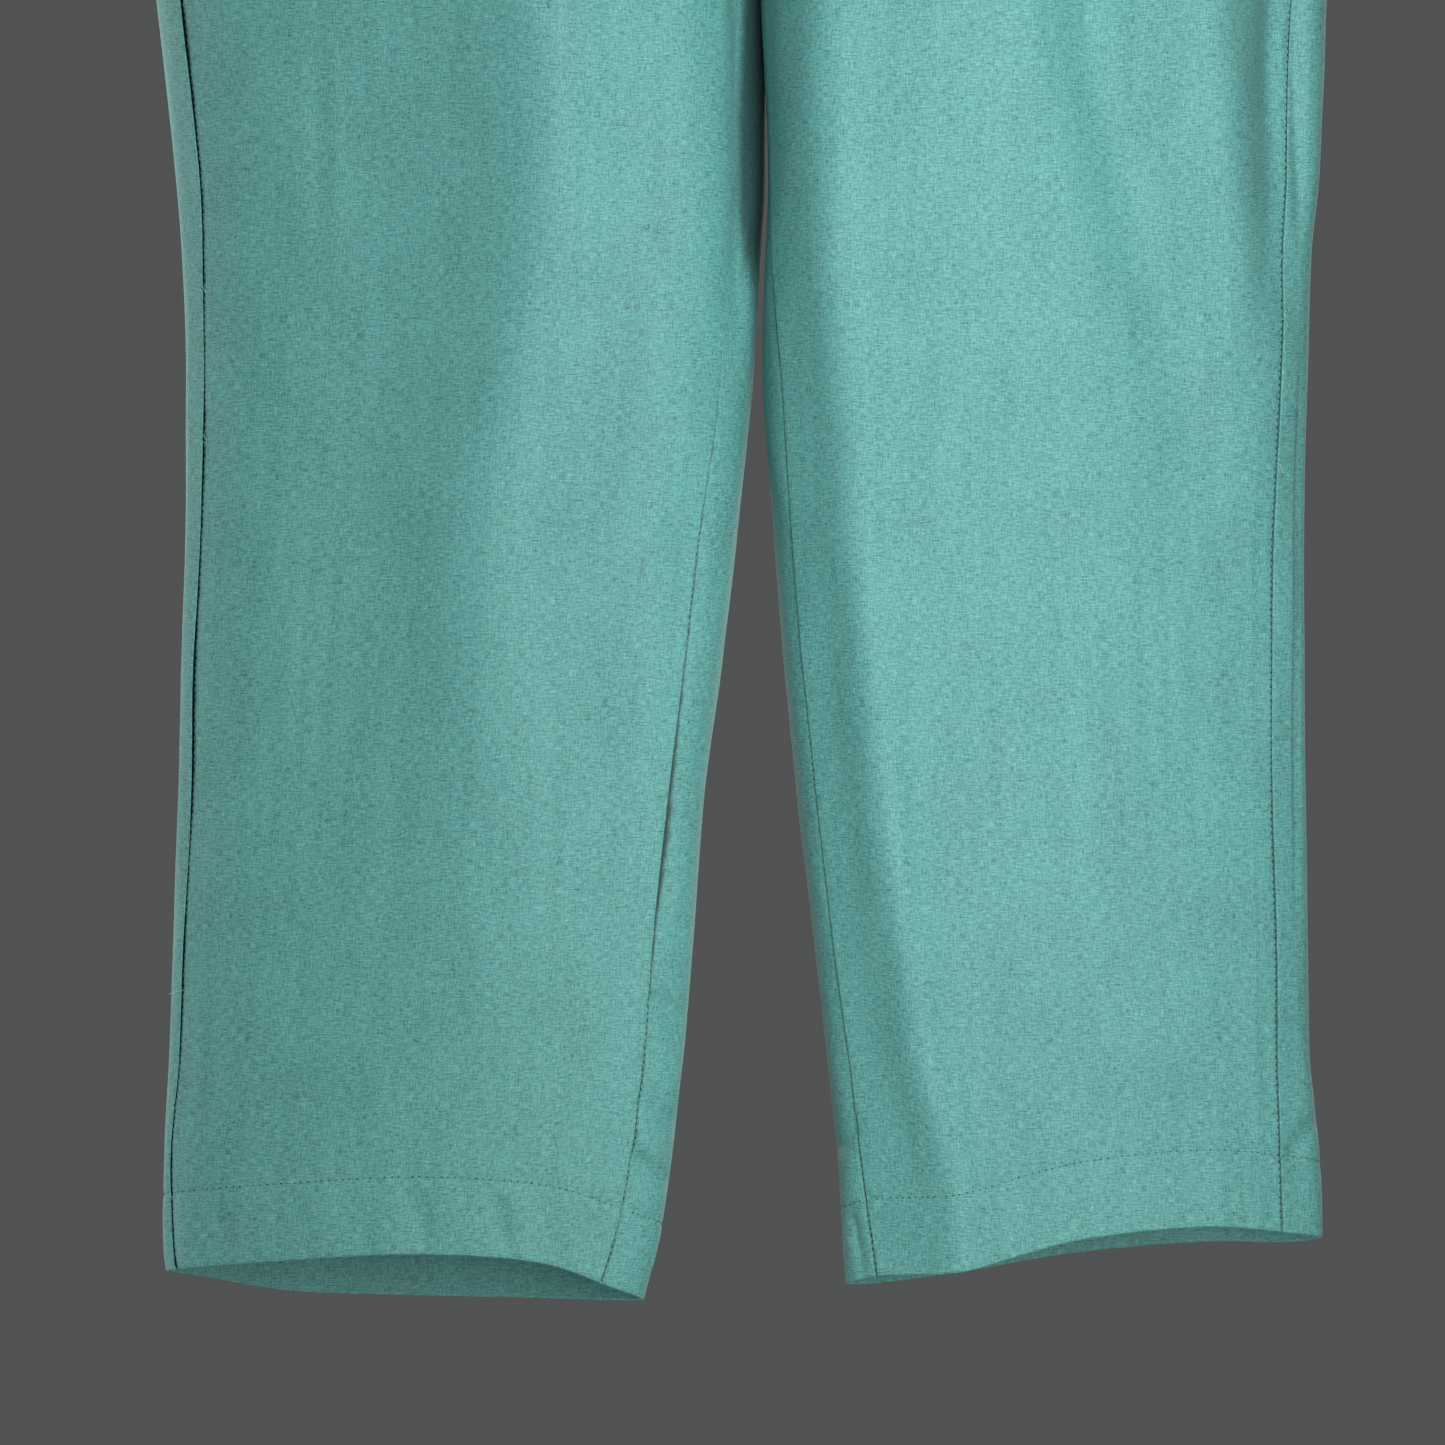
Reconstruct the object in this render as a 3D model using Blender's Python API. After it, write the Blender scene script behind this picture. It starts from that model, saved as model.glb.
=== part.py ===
"""Elasticated trousers, hollow, hanging from the waist.

Two fronts, two backs, a gathered waist casing and two turned-up hems.
The front faces -Y, the wearer's right is -X, and the origin is the middle of the waist.
Tables and sizes are in millimetres, and every point is turned to metres as it is placed.
"""

import math
from bisect import bisect_left
from collections import namedtuple

import bmesh
import bpy
from mathutils import Vector

MM = 0.001

# Small steps that slopes are measured over: round a section, across a panel and up it
ANGLE_STEP = 0.01
SHARE_STEP = 0.002
HEIGHT_STEP = 0.5
WELD = 0.01

# Cloth
CLOTH_WALL = 1.2
CASING_WALL = 2.6
CASING_PROUD = 0.7
SEAM_GAP = 0.3

# Heights, down from the middle of the waist casing
CASING_TOP = 20.0
CASING_FOOT = -20.0
CROTCH = -272.0
FRONT_RISE = 150.0
BACK_RISE = 176.0
JOIN_POWER = 1.5
HEM = -935.0
HEM_DEPTH = 31.5

# Gathers that the elastic draws in, a whole number on each panel
FRONT_GATHERS = 7
BACK_GATHERS = 11
CASING_GATHER_DEPTH = 2.6
PANEL_GATHER_DEPTH = 4.0
GATHER_SWELL = 9.0
GATHER_LENGTH = 125.0
GATHER_UNEVENNESS = 0.010
GATHER_DRIFTS = 3

# Columns of cloth faces: four to a gather above GATHER_FOOT, and half as many below it
COLUMNS_PER_GATHER = 4
GATHER_FOOT = -132.0

CLOTH_COLOUR = (0.13, 0.36, 0.34, 1.0)
CLOTH_ROUGHNESS = 0.85
SHARP_ANGLE = math.radians(50)

RIGHT = -1
LEFT = 1
FRONT = 1
BACK = -1

# One row for each level. Sizes across are from the middle plane: outer and inner are the edges of
# a side's outline, and inner is positive on that side's own half. Front and back are the depths
# each way from the side's own middle, which offset moves along Y. Lean pulls the front's crown to
# the inner edge. Outseam and inseam say how far in from its edge each seam shows on the front.
Level = namedtuple("Level", "height outer inner front back offset lean outseam inseam")

# Both sides from the waist to the crotch, where inner is how far the middle seams lie to the left
BODY_LEVELS = [
    Level(30, 140, 0, 80, 84, 0, 0, 3, 0),
    Level(-20, 140, 0, 80, 84, 0, 0, 3, 0),
    Level(-36, 149, 0, 83, 87, 0, 0, 4, 0),
    Level(-62, 174, 0, 87, 92, 0, 0, 6, 0),
    Level(-110, 212, 0, 90, 98, 0, 0, 8, 0),
    Level(-170, 239, 2, 88, 100, 0, 0, 10, 0),
    Level(-230, 249, 5, 83, 96, 0, 0, 11, 0),
    Level(CROTCH, 250, 8, 78, 91, 0, 0, 11.5, 0),
]

RIGHT_LEVELS = [
    Level(-300, 249, -8.0, 74.5, 87, 1.5, 0, 12, 1),
    Level(-350, 246.5, -8.3, 68, 79, 5, 0.05, 12, 3),
    Level(-415, 240.7, -9.0, 59, 68, 8, 0.1, 12, 6),
    Level(-490, 232.1, -9.8, 50, 57, 7, 0.2, 11, 11.5),
    Level(-525, 229.6, -7.6, 47, 53, 6, 0.2, 9.5, 12.7),
    Level(-579, 228.0, -4.1, 43, 48, 4, 0.2, 8.2, 13.5),
    Level(-634, 228.6, 1.9, 40, 45, 2, 0.2, 7.5, 15.6),
    Level(-690, 229.8, 8.3, 37, 42, 1, 0.2, 5.8, 15.6),
    Level(-744, 231.0, 15.3, 35, 39, 0, 0.2, 6.1, 15),
    Level(-805, 233.2, 20.2, 33, 36, 0, 0.15, 5, 16.3),
    Level(-850, 234.8, 24.1, 31, 34, 0, 0.1, 4.8, 16),
    Level(-885, 236.4, 28.1, 30, 32, 0, 0.05, 3.2, 16.6),
    Level(-925, 236.8, 34.0, 30, 31, 0, 0, 4.5, 19),
    Level(-955, 233.0, 41.5, 30, 31, 0, 0, 6, 22),
]

LEFT_LEVELS = [
    Level(-300, 248.5, 8.2, 74.5, 87, -1.5, 0, 11, 0.4),
    Level(-350, 245.5, 8.2, 68, 79, -5, 0.1, 11, 0.6),
    Level(-415, 238.6, 7.8, 59, 68, -8, 0.2, 10.7, 0.9),
    Level(-490, 235.0, 10.3, 50, 57, -7, 0.3, 11.5, 1.4),
    Level(-525, 232.5, 9.3, 46, 53, -6, 0.3, 12.3, 3.0),
    Level(-579, 230.8, 8.6, 42, 48, -4, 0.3, 12.7, 7.6),
    Level(-634, 230.0, 12.9, 38, 43, -2, 0.3, 13.8, 7.0),
    Level(-690, 230.5, 17.2, 35, 40, -1, 0.3, 14.8, 7.4),
    Level(-744, 231.2, 22.7, 33, 37, 0, 0.3, 15.2, 7.6),
    Level(-805, 232.0, 29.4, 31, 33, 0, 0.25, 14.2, 8),
    Level(-850, 232.5, 35.0, 29, 31, 0, 0.2, 14.4, 8.6),
    Level(-885, 236.6, 38.9, 28, 30, 0, 0.15, 17.6, 8.8),
    Level(-925, 237.8, 41.0, 27, 29, 0, 0.1, 17.6, 12),
    Level(-955, 237.2, 43.5, 27, 29, 0, 0.1, 17.5, 14),
]

# Height of the hem's edge every 30 degrees: from the outer edge over the front to the inner
# edge, and back to the outer edge over the back
HEM_STEP = 30.0
RIGHT_HEM = [-936.5, -933.3, -929.8, -926.9, -930.2, -941.9, -948.4]
RIGHT_HEM += [-950.4, -950.3, -949.5, -947.4, -940.5]
LEFT_HEM = [-923.0, -919.8, -916.5, -921.1, -933.6, -936.9, -941.8]
LEFT_HEM += [-943.1, -939.4, -931.5, -927.0, -926.2]

# Soft folds, from top to foot: in_top and in_foot are how far in from the side's outer edge a fold
# lies, and a trough has a negative depth
Fold = namedtuple("Fold", "side panel in_top in_foot top foot width depth")

FOLDS = [
    Fold(RIGHT, FRONT, 168, 122, -110, -780, 26, 3.5),
    Fold(RIGHT, FRONT, 80, 70, -90, -430, 22, -3.0),
    Fold(RIGHT, FRONT, 196, 200, -50, -250, 16, 2.5),
    Fold(LEFT, FRONT, 78, 14, -210, -640, 15, 4.0),
    Fold(LEFT, FRONT, 118, 44, -210, -640, 18, -3.5),
    Fold(LEFT, FRONT, 190, 196, -50, -260, 16, 2.5),
    Fold(RIGHT, BACK, 92, 104, -80, -520, 17, 4.0),
    Fold(RIGHT, BACK, 140, 128, -60, -420, 18, -4.0),
    Fold(RIGHT, BACK, 70, 58, -330, -850, 18, 3.0),
    Fold(LEFT, BACK, 104, 92, -70, -560, 17, 4.0),
    Fold(LEFT, BACK, 150, 132, -60, -400, 18, -4.0),
    Fold(LEFT, BACK, 64, 72, -300, -820, 18, 3.0),
]

# Rows of cloth faces from the casing to the hem. Follow is how much of the hem's own rise and
# fall a row takes.
Row = namedtuple("Row", "height follow")

ROWS = [
    Row(CASING_FOOT - SEAM_GAP, 0),
    Row(-30, 0),
    Row(-46, 0),
    Row(-70, 0),
    Row(-98, 0),
    Row(GATHER_FOOT, 0),
    Row(-164, 0),
    Row(-200, 0),
    Row(-232, 0),
    Row(-255, 0),
    Row(-267, 0),
    Row(CROTCH, 0),
    Row(-300, 0),
    Row(-350, 0),
    Row(-415, 0),
    Row(-480, 0),
    Row(-525, 0),
    Row(-590, 0),
    Row(-660, 0),
    Row(-730, 0),
    Row(-800, 0.1),
    Row(-858, 0.6),
    Row(HEM + HEM_DEPTH, 1),
    Row(HEM + HEM_DEPTH / 2, 1),
    Row(HEM, 1),
]
HEM_ROWS = ROWS[-3:]

CASING_ROWS = [Row(CASING_FOOT, 0), Row(0, 0), Row(CASING_TOP, 0)]


def cubic(before, start, end, after, share):
    """The value share of the way from start to end on a smooth curve through all four."""
    start_slope = (end - before) / 2
    end_slope = (after - start) / 2
    square = share * share
    cube = square * share
    return (
        start * (2 * cube - 3 * square + 1)
        + start_slope * (cube - 2 * square + share)
        + end * (3 * square - 2 * cube)
        + end_slope * (cube - square)
    )


def side_levels(side):
    """The side's whole table, from the waist to below the hem."""
    body = [level._replace(inner=level.inner * side) for level in BODY_LEVELS]
    return body + (RIGHT_LEVELS if side == RIGHT else LEFT_LEVELS)


LEVELS = {side: side_levels(side) for side in (RIGHT, LEFT)}


def level_at(side, height):
    """The side's sizes at any height, on a smooth curve through its table."""
    levels = LEVELS[side]
    depths = [-level.height for level in levels]
    place = min(max(bisect_left(depths, -height), 1), len(levels) - 1)
    above = levels[place - 1]
    below = levels[place]
    span = below.height - above.height
    share = (height - above.height) / span
    higher = levels[max(place - 2, 0)]
    lower = levels[min(place + 1, len(levels) - 1)]
    start_scale = span / ((below.height - higher.height) or span)
    end_scale = span / ((lower.height - above.height) or span)
    values = [height]
    for column in range(1, len(Level._fields)):
        start_slope = (below[column] - higher[column]) * start_scale
        end_slope = (lower[column] - above[column]) * end_scale
        before = below[column] - 2 * start_slope
        after = above[column] + 2 * end_slope
        values.append(cubic(before, above[column], below[column], after, share))
    return Level(*values)


def hem_height(side, angle):
    """Height of the hem's edge at an angle round the leg."""
    heights = RIGHT_HEM if side == RIGHT else LEFT_HEM
    place = math.degrees(angle) / HEM_STEP
    first = math.floor(place)
    around = [heights[(first + step) % len(heights)] for step in (-1, 0, 1, 2)]
    return cubic(*around, place - first)


def smooth_step(share):
    """A share held between 0 and 1, with soft ends."""
    share = min(max(share, 0.0), 1.0)
    return share * share * (3 - 2 * share)


def join_share(height, face):
    """1 where a leg is a tube of its own, falling to 0 where both sides make one round body."""
    rise = FRONT_RISE if face == FRONT else BACK_RISE
    climbed = min(max((height - CROTCH) / rise, 0.0), 1.0)
    return 1 - climbed**JOIN_POWER * (1 + JOIN_POWER * (1 - climbed))


def half_width(level, height, face):
    """Half the width of the round form that the side's front or back belongs to."""
    joined = join_share(height, face)
    return (level.outer - level.inner - SEAM_GAP / 2 * joined) / (1 + joined)


def seam_angles(side, panel, height):
    """Angles of a panel's two edges round its side: the outseam, then the inseam or centre."""
    level = level_at(side, height)
    outseam = math.acos(1 - level.outseam / half_width(level, height, FRONT))
    inseam = math.acos(1 - max(level.inseam, 0.0) / half_width(level, height, panel))
    end = math.acos(-join_share(height, panel))
    return (outseam, end - inseam) if panel == FRONT else (outseam, -end - inseam)


def section(side, angle, height):
    """A point of the side's plain section: angle 0 is its outer edge, and a right angle its front."""
    level = level_at(side, height)
    face = FRONT if math.sin(angle) >= 0 else BACK
    across = level.outer - half_width(level, height, face) * (1 - math.cos(angle))
    if face == FRONT:
        depth = level.front * math.sin(angle) * (1 - level.lean * math.cos(angle))
    else:
        depth = level.back * math.sin(angle)
    return Vector((side * across, level.offset - depth, height))


def gather_depth(height):
    """How far a gather stands out at a height."""
    below = CASING_FOOT - height
    if below <= 0:
        return CASING_GATHER_DEPTH
    swell = 1 - math.exp(-below / GATHER_SWELL)
    depth = CASING_GATHER_DEPTH + (PANEL_GATHER_DEPTH - CASING_GATHER_DEPTH) * swell
    return depth * (1 - smooth_step(below / GATHER_LENGTH))


def gather_relief(panel, share, height):
    """How far the gathers push the cloth out, with a crest on every seam."""
    gathers = FRONT_GATHERS if panel == FRONT else BACK_GATHERS
    uneven = share + GATHER_UNEVENNESS * math.sin(GATHER_DRIFTS * math.tau * share)
    return gather_depth(height) * math.cos(math.tau * gathers * uneven)


def fold_relief(side, panel, inwards, height):
    """How far the soft folds push the cloth out, at a distance in from the outer edge."""
    out = 0.0
    for fold in FOLDS:
        if fold.side != side or fold.panel != panel or not fold.foot < height < fold.top:
            continue
        along = (fold.top - height) / (fold.top - fold.foot)
        middle = fold.in_top + (fold.in_foot - fold.in_top) * along
        across = (inwards - middle) / fold.width
        out += fold.depth * math.sin(math.pi * along) ** 2 * math.exp(-across * across)
    return out


def cloth(side, panel, share, height):
    """A point of the cloth's outer face, share of the way across its panel."""
    first, last = seam_angles(side, panel, height)
    angle = first + (last - first) * share
    point = section(side, angle, height)
    tangent = section(side, angle + ANGLE_STEP, height) - section(side, angle - ANGLE_STEP, height)
    outwards = Vector((-tangent.y, tangent.x, 0)).normalized() * side
    inwards = level_at(side, height).outer - side * point.x
    wrapped = panel == BACK and math.sin(angle) > 0
    out = gather_relief(panel, share, height)
    if not wrapped:
        out += fold_relief(side, panel, inwards, height)
    return point + outwards * out


def row_height(side, panel, share, row):
    """Height of a row at a share of its panel: rows near the hem rise and fall with it."""
    if row.follow == 0:
        return row.height
    first, last = seam_angles(side, panel, row.height)
    return row.height + row.follow * (hem_height(side, first + (last - first) * share) - HEM)


def slope_across(side, panel, share, height, step):
    """The cloth's slope along a row, as a vector for the whole width of the panel."""
    return (cloth(side, panel, share + step, height) - cloth(side, panel, share, height)) / step


def placed(side, panel, share, row, inwards):
    """A point in metres, moved inwards from the cloth's outer face along its own normal."""
    height = row_height(side, panel, share, row)
    point = cloth(side, panel, share, height)
    across = slope_across(side, panel, share - SHARE_STEP, height, 2 * SHARE_STEP)
    up = cloth(side, panel, share, height + HEIGHT_STEP)
    up -= cloth(side, panel, share, height - HEIGHT_STEP)
    normal = across.cross(up).normalized() * -side * panel
    return (point - normal * inwards) * MM


def inset_share(side, panel, share, row):
    """The share drawn in at both edges, so that half the seam's gap is left at each."""
    height = row_height(side, panel, share, row)
    start = SEAM_GAP / 2 / slope_across(side, panel, 0, height, SHARE_STEP).length
    end = SEAM_GAP / 2 / slope_across(side, panel, 1, height, -SHARE_STEP).length
    return start + share * (1 - start - end)


def cloth_material(name):
    """A plain woven cloth's material."""
    material = bpy.data.materials.new(name)
    material.use_nodes = True
    shader = material.node_tree.nodes["Principled BSDF"]
    shader.inputs["Base Color"].default_value = CLOTH_COLOUR
    shader.inputs["Roughness"].default_value = CLOTH_ROUGHNESS
    shader.inputs["Metallic"].default_value = 0.0
    return material


def add_piece(name, mesh_builder, parent):
    """Turn a bmesh into a named object with its own material, and close it up."""
    bmesh.ops.recalc_face_normals(mesh_builder, faces=mesh_builder.faces)
    mesh = bpy.data.meshes.new(name)
    mesh_builder.to_mesh(mesh)
    mesh_builder.free()
    mesh.shade_smooth()
    mesh.set_sharp_from_angle(angle=SHARP_ANGLE)
    mesh.materials.append(cloth_material(name + "_cloth"))
    piece = bpy.data.objects.new(name, mesh)
    piece.parent = parent
    bpy.context.scene.collection.objects.link(piece)


def columns(panel):
    """Columns of faces across a panel where it is gathered."""
    return COLUMNS_PER_GATHER * (FRONT_GATHERS if panel == FRONT else BACK_GATHERS)


def build_panel(name, side, panel, parent):
    """One leg panel: a flat grid of cloth mapped round its side, with a second face inside it."""
    last_row = len(ROWS) - 1
    last_gathered = ROWS.index(Row(GATHER_FOOT, 0))
    sheet = bmesh.new()
    bmesh.ops.create_grid(sheet, x_segments=columns(panel) // 2, y_segments=last_row, size=0.5)
    row_of = {vert: round((0.5 - vert.co.y) * last_row) for vert in sheet.verts}
    gathered_edges = [
        edge
        for edge in sheet.edges
        if row_of[edge.verts[0]] == row_of[edge.verts[1]] <= last_gathered
    ]
    bmesh.ops.subdivide_edges(sheet, edges=gathered_edges, cuts=1)
    bmesh.ops.triangulate(sheet, faces=[face for face in sheet.faces if len(face.verts) > 4])
    outer = sheet.verts[:]
    copied = bmesh.ops.duplicate(sheet, geom=sheet.verts[:] + sheet.edges[:] + sheet.faces[:])
    inner_faces = [item for item in copied["geom"] if isinstance(item, bmesh.types.BMFace)]
    bmesh.ops.reverse_faces(sheet, faces=inner_faces)
    for vert in outer:
        row = ROWS[round((0.5 - vert.co.y) * last_row)]
        share = inset_share(side, panel, vert.co.x + 0.5, row)
        copied["vert_map"][vert].co = placed(side, panel, share, row, CLOTH_WALL)
        vert.co = placed(side, panel, share, row, 0.0)
    rim = [edge for edge in sheet.edges if edge.is_boundary]
    bmesh.ops.bridge_loops(sheet, edges=rim)
    add_piece(name, sheet, parent)


def panel_stations(side, panel, count):
    """Even stations across a panel from its outseam, each as side, panel and share."""
    return [(side, panel, station / count) for station in range(count + 1)]


def build_ring(name, stations, rows, outside, inside, parent):
    """A closed band through stations that run once round, from outside to inside of the cloth."""
    profile = [(row, outside) for row in rows] + [(row, inside) for row in reversed(rows)]
    band = bmesh.new()
    bmesh.ops.create_grid(band, x_segments=len(stations), y_segments=len(profile), size=0.5)
    for vert in band.verts:
        station = stations[round((vert.co.x + 0.5) * len(stations)) % len(stations)]
        row, inwards = profile[round((vert.co.y + 0.5) * len(profile)) % len(profile)]
        vert.co = placed(*station, row, inwards)
    bmesh.ops.remove_doubles(band, verts=band.verts, dist=WELD * MM)
    add_piece(name, band, parent)


def waist_stations():
    """Stations once round the waist, from the centre front over the left side to the back."""
    stations = []
    for side in (LEFT, RIGHT):
        front = panel_stations(side, FRONT, columns(FRONT))
        back = panel_stations(side, BACK, columns(BACK))
        half = front[:0:-1] + back
        stations += half[:-1] if side == LEFT else half[:0:-1]
    return stations


def leg_stations(side):
    """Stations once round a leg, over its front and then its back."""
    front = panel_stations(side, FRONT, columns(FRONT) // 2)
    back = panel_stations(side, BACK, columns(BACK) // 2)
    return front[:-1] + back[:0:-1]


def main():
    """Build every piece under one empty at the middle of the waist."""
    for old in list(bpy.data.objects):
        bpy.data.objects.remove(old)
    waist = bpy.data.objects.new("trousers", None)
    bpy.context.scene.collection.objects.link(waist)
    inner_layer = CLOTH_WALL + SEAM_GAP
    for side, side_name in ((RIGHT, "right"), (LEFT, "left")):
        build_panel("front_panel_" + side_name, side, FRONT, waist)
        build_panel("back_panel_" + side_name, side, BACK, waist)
        hem = "hem_" + side_name
        build_ring(hem, leg_stations(side), HEM_ROWS, inner_layer, inner_layer + CLOTH_WALL, waist)
    casing_inside = CASING_WALL - CASING_PROUD
    build_ring("waistband", waist_stations(), CASING_ROWS, -CASING_PROUD, casing_inside, waist)


main()
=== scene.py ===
"""Looks of the elasticated trousers: fine cloth, seams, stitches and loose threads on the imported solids.

The front faces -Y, the wearer's right is -X, and the origin is the middle of the waist.
Tables and sizes are in millimetres, and every point is turned to metres as its mesh is made.
"""

import logging
import math
from dataclasses import dataclass
from enum import Enum
from typing import NamedTuple

import bmesh
import bpy
import numpy as np
from mathutils import Matrix, Vector


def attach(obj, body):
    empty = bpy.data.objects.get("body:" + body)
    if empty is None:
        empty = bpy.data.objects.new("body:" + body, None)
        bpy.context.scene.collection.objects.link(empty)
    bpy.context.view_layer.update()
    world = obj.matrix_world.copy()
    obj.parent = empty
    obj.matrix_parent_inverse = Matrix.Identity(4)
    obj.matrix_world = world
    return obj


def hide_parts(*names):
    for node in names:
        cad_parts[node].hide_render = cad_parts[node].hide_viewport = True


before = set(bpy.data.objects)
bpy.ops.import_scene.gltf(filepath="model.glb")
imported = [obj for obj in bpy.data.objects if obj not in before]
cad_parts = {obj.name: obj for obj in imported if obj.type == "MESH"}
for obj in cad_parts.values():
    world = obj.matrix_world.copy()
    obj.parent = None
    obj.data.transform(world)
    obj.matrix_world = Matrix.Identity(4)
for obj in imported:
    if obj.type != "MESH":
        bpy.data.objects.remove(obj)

log = logging.getLogger("trousers")

MM = 0.001

# The garment's own sizes, as its solids have them
CASING_TOP = 20.0
CASING_FOOT = -20.0
CASING_PROUD = 0.7
CASING_WALL = 2.6
SEAM_GAP = 0.3
CROTCH = -272.0
FRONT_RISE = 150.0
BACK_RISE = 176.0
JOIN_POWER = 1.5
HEM = -935.0
HEM_DEPTH = 31.5
GATHERS_FRONT = 7
GATHERS_BACK = 11
GATHER_CASING_DEPTH = 2.6
GATHER_PANEL_DEPTH = 4.0
GATHER_SWELL = 9.0
GATHER_LENGTH = 125.0
GATHER_UNEVENNESS = 0.010
GATHER_DRIFTS = 3

# Cloth and sewing
CLOTH_WALL = 0.7
ROLL_RADIUS = 0.6
HEM_ROLL = 0.8
STITCH_PITCH = 2.85
ARC_SAMPLES = 220
FOLD_FADE = 0.4
EDGE_FULLNESS = 0.24
EDGE_TOP = -300.0
SHARE_STEP = 0.002
HEIGHT_STEP = 0.5


class Side(Enum):
    """A side of the wearer, and the sign of its X."""

    RIGHT = -1
    LEFT = 1


class Face(Enum):
    """The front or the back, and the sign that its depth takes."""

    FRONT = 1
    BACK = -1


class Level(NamedTuple):
    """One row of a side's table. See the solids: sizes across, depths, and how far in each seam shows."""

    height: float
    outer: float
    inner: float
    front: float
    back: float
    offset: float
    lean: float
    outseam: float
    inseam: float


class Fold(NamedTuple):
    """A long soft fold on one panel: its line as rows of height, distance in from the outer edge and depth."""

    side: Side
    face: Face
    width: float
    line: tuple[tuple[float, float, float], ...]


class Crease(NamedTuple):
    """A short soft trough or ridge on the front or back, from one point to another seen square on."""

    face: Face
    x: float
    z: float
    to_x: float
    to_z: float
    width: float
    depth: float


BODY_LEVELS = [
    Level(30, 140, 0, 80, 84, 0, 0, 3, 0),
    Level(-20, 140, 0, 80, 84, 0, 0, 3, 0),
    Level(-36, 149, 0, 83, 87, 0, 0, 4, 0),
    Level(-62, 174, 0, 87, 92, 0, 0, 6, 0),
    Level(-110, 212, 0, 90, 98, 0, 0, 8, 0),
    Level(-170, 239, 2, 88, 100, 0, 0, 10, 0),
    Level(-230, 249, 5, 83, 96, 0, 0, 11, 0),
    Level(CROTCH, 250, 8, 78, 91, 0, 0, 11.5, 0),
]

RIGHT_LEVELS = [
    Level(-300, 249, -8.0, 74.5, 87, 1.5, 0, 12, 1),
    Level(-350, 246.5, -8.3, 68, 79, 5, 0.05, 12, 3),
    Level(-415, 240.7, -9.0, 59, 68, 8, 0.1, 12, 6),
    Level(-490, 232.1, -9.8, 50, 57, 7, 0.2, 11, 11.5),
    Level(-525, 229.6, -7.6, 47, 53, 6, 0.2, 9.5, 12.7),
    Level(-579, 228.0, -4.1, 43, 48, 4, 0.2, 8.2, 13.5),
    Level(-634, 228.6, 1.9, 40, 45, 2, 0.2, 7.5, 15.6),
    Level(-690, 229.8, 8.3, 37, 42, 1, 0.2, 5.8, 15.6),
    Level(-744, 231.0, 15.3, 35, 39, 0, 0.2, 6.1, 15),
    Level(-805, 233.2, 20.2, 33, 36, 0, 0.15, 5, 16.3),
    Level(-850, 234.8, 24.1, 31, 34, 0, 0.1, 4.8, 16),
    Level(-885, 236.4, 28.1, 30, 32, 0, 0.05, 3.2, 16.6),
    Level(-925, 236.8, 34.0, 30, 31, 0, 0, 4.5, 19),
    Level(-955, 233.0, 41.5, 30, 31, 0, 0, 6, 22),
]

LEFT_LEVELS = [
    Level(-300, 248.5, 8.2, 74.5, 87, -1.5, 0, 11, 0.4),
    Level(-350, 245.5, 8.2, 68, 79, -5, 0.1, 11, 0.6),
    Level(-415, 238.6, 7.8, 59, 68, -8, 0.2, 10.7, 0.9),
    Level(-490, 235.0, 10.3, 50, 57, -7, 0.3, 11.5, 1.4),
    Level(-525, 232.5, 9.3, 46, 53, -6, 0.3, 12.3, 3.0),
    Level(-579, 230.8, 8.6, 42, 48, -4, 0.3, 12.7, 7.6),
    Level(-634, 230.0, 12.9, 38, 43, -2, 0.3, 13.8, 7.0),
    Level(-690, 230.5, 17.2, 35, 40, -1, 0.3, 14.8, 7.4),
    Level(-744, 231.2, 22.7, 33, 37, 0, 0.3, 15.2, 7.6),
    Level(-805, 232.0, 29.4, 31, 33, 0, 0.25, 14.2, 8),
    Level(-850, 232.5, 35.0, 29, 31, 0, 0.2, 14.4, 8.6),
    Level(-885, 236.6, 38.9, 28, 30, 0, 0.15, 17.6, 8.8),
    Level(-925, 237.8, 41.0, 27, 29, 0, 0.1, 17.6, 12),
    Level(-955, 237.2, 43.5, 27, 29, 0, 0.1, 17.5, 14),
]

# Height of the hem's edge every 30 degrees: outer edge, front, inner edge, back
RIGHT_HEM = [-936.5, -933.3, -929.8, -926.9, -930.2, -941.9, -948.4]
RIGHT_HEM += [-950.4, -950.3, -949.5, -947.4, -940.5]
LEFT_HEM = [-923.0, -919.8, -916.5, -921.1, -933.6, -936.9, -941.8]
LEFT_HEM += [-943.1, -939.4, -931.5, -927.0, -926.2]

# How much of the hem's own rise and fall a height takes
FOLLOW_HEIGHTS = (-903.5, -858.0, -800.0, -730.0)
FOLLOW_SHARES = (1.0, 0.6, 0.1, 0.0)

RIGHT_RIDGE = ((-90, 172, 0), (-250, 168, 4.0), (-415, 160, 9.5), (-497, 153, 9.5), (-559, 139, 8.5))
RIGHT_RIDGE += ((-620, 123, 7.0), (-702, 123, 5.0), (-784, 126, 2.5), (-860, 130, 0))
RIGHT_INNER = ((-300, 250, -3), (-380, 247, -6), (-440, 243, -7), (-520, 233, -6), (-560, 228, -3), (-600, 224, 0))
LEFT_TURN = ((-120, 196, 0), (-300, 214, 2.0), (-440, 203, 5.0), (-500, 198, 6.0), (-559, 190, 7.0))
LEFT_TURN += ((-620, 183, 8.0), (-702, 177, 8.5), (-784, 168, 8.5), (-866, 156, 8.0), (-915, 150, 7.0), (-960, 146, 6))
LEFT_SLANT = ((-150, 104, 0), (-300, 100, -6.0), (-415, 98, -11.0), (-497, 79, -8.0), (-560, 60, -4.0))
LEFT_SLANT += ((-640, 46, -1.5), (-720, 40, 0))
LEFT_SLANT_RIDGE = ((-150, 58, 0), (-300, 54, 5.0), (-415, 52, 9.0), (-497, 42, 6.5), (-560, 27, 3.0), (-640, 20, 0))
LEFT_PLEAT = ((-330, 18, 0), (-400, 18, -11.0), (-445, 18, -11.0), (-500, 17, -5.0), (-550, 17, 0))
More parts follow.
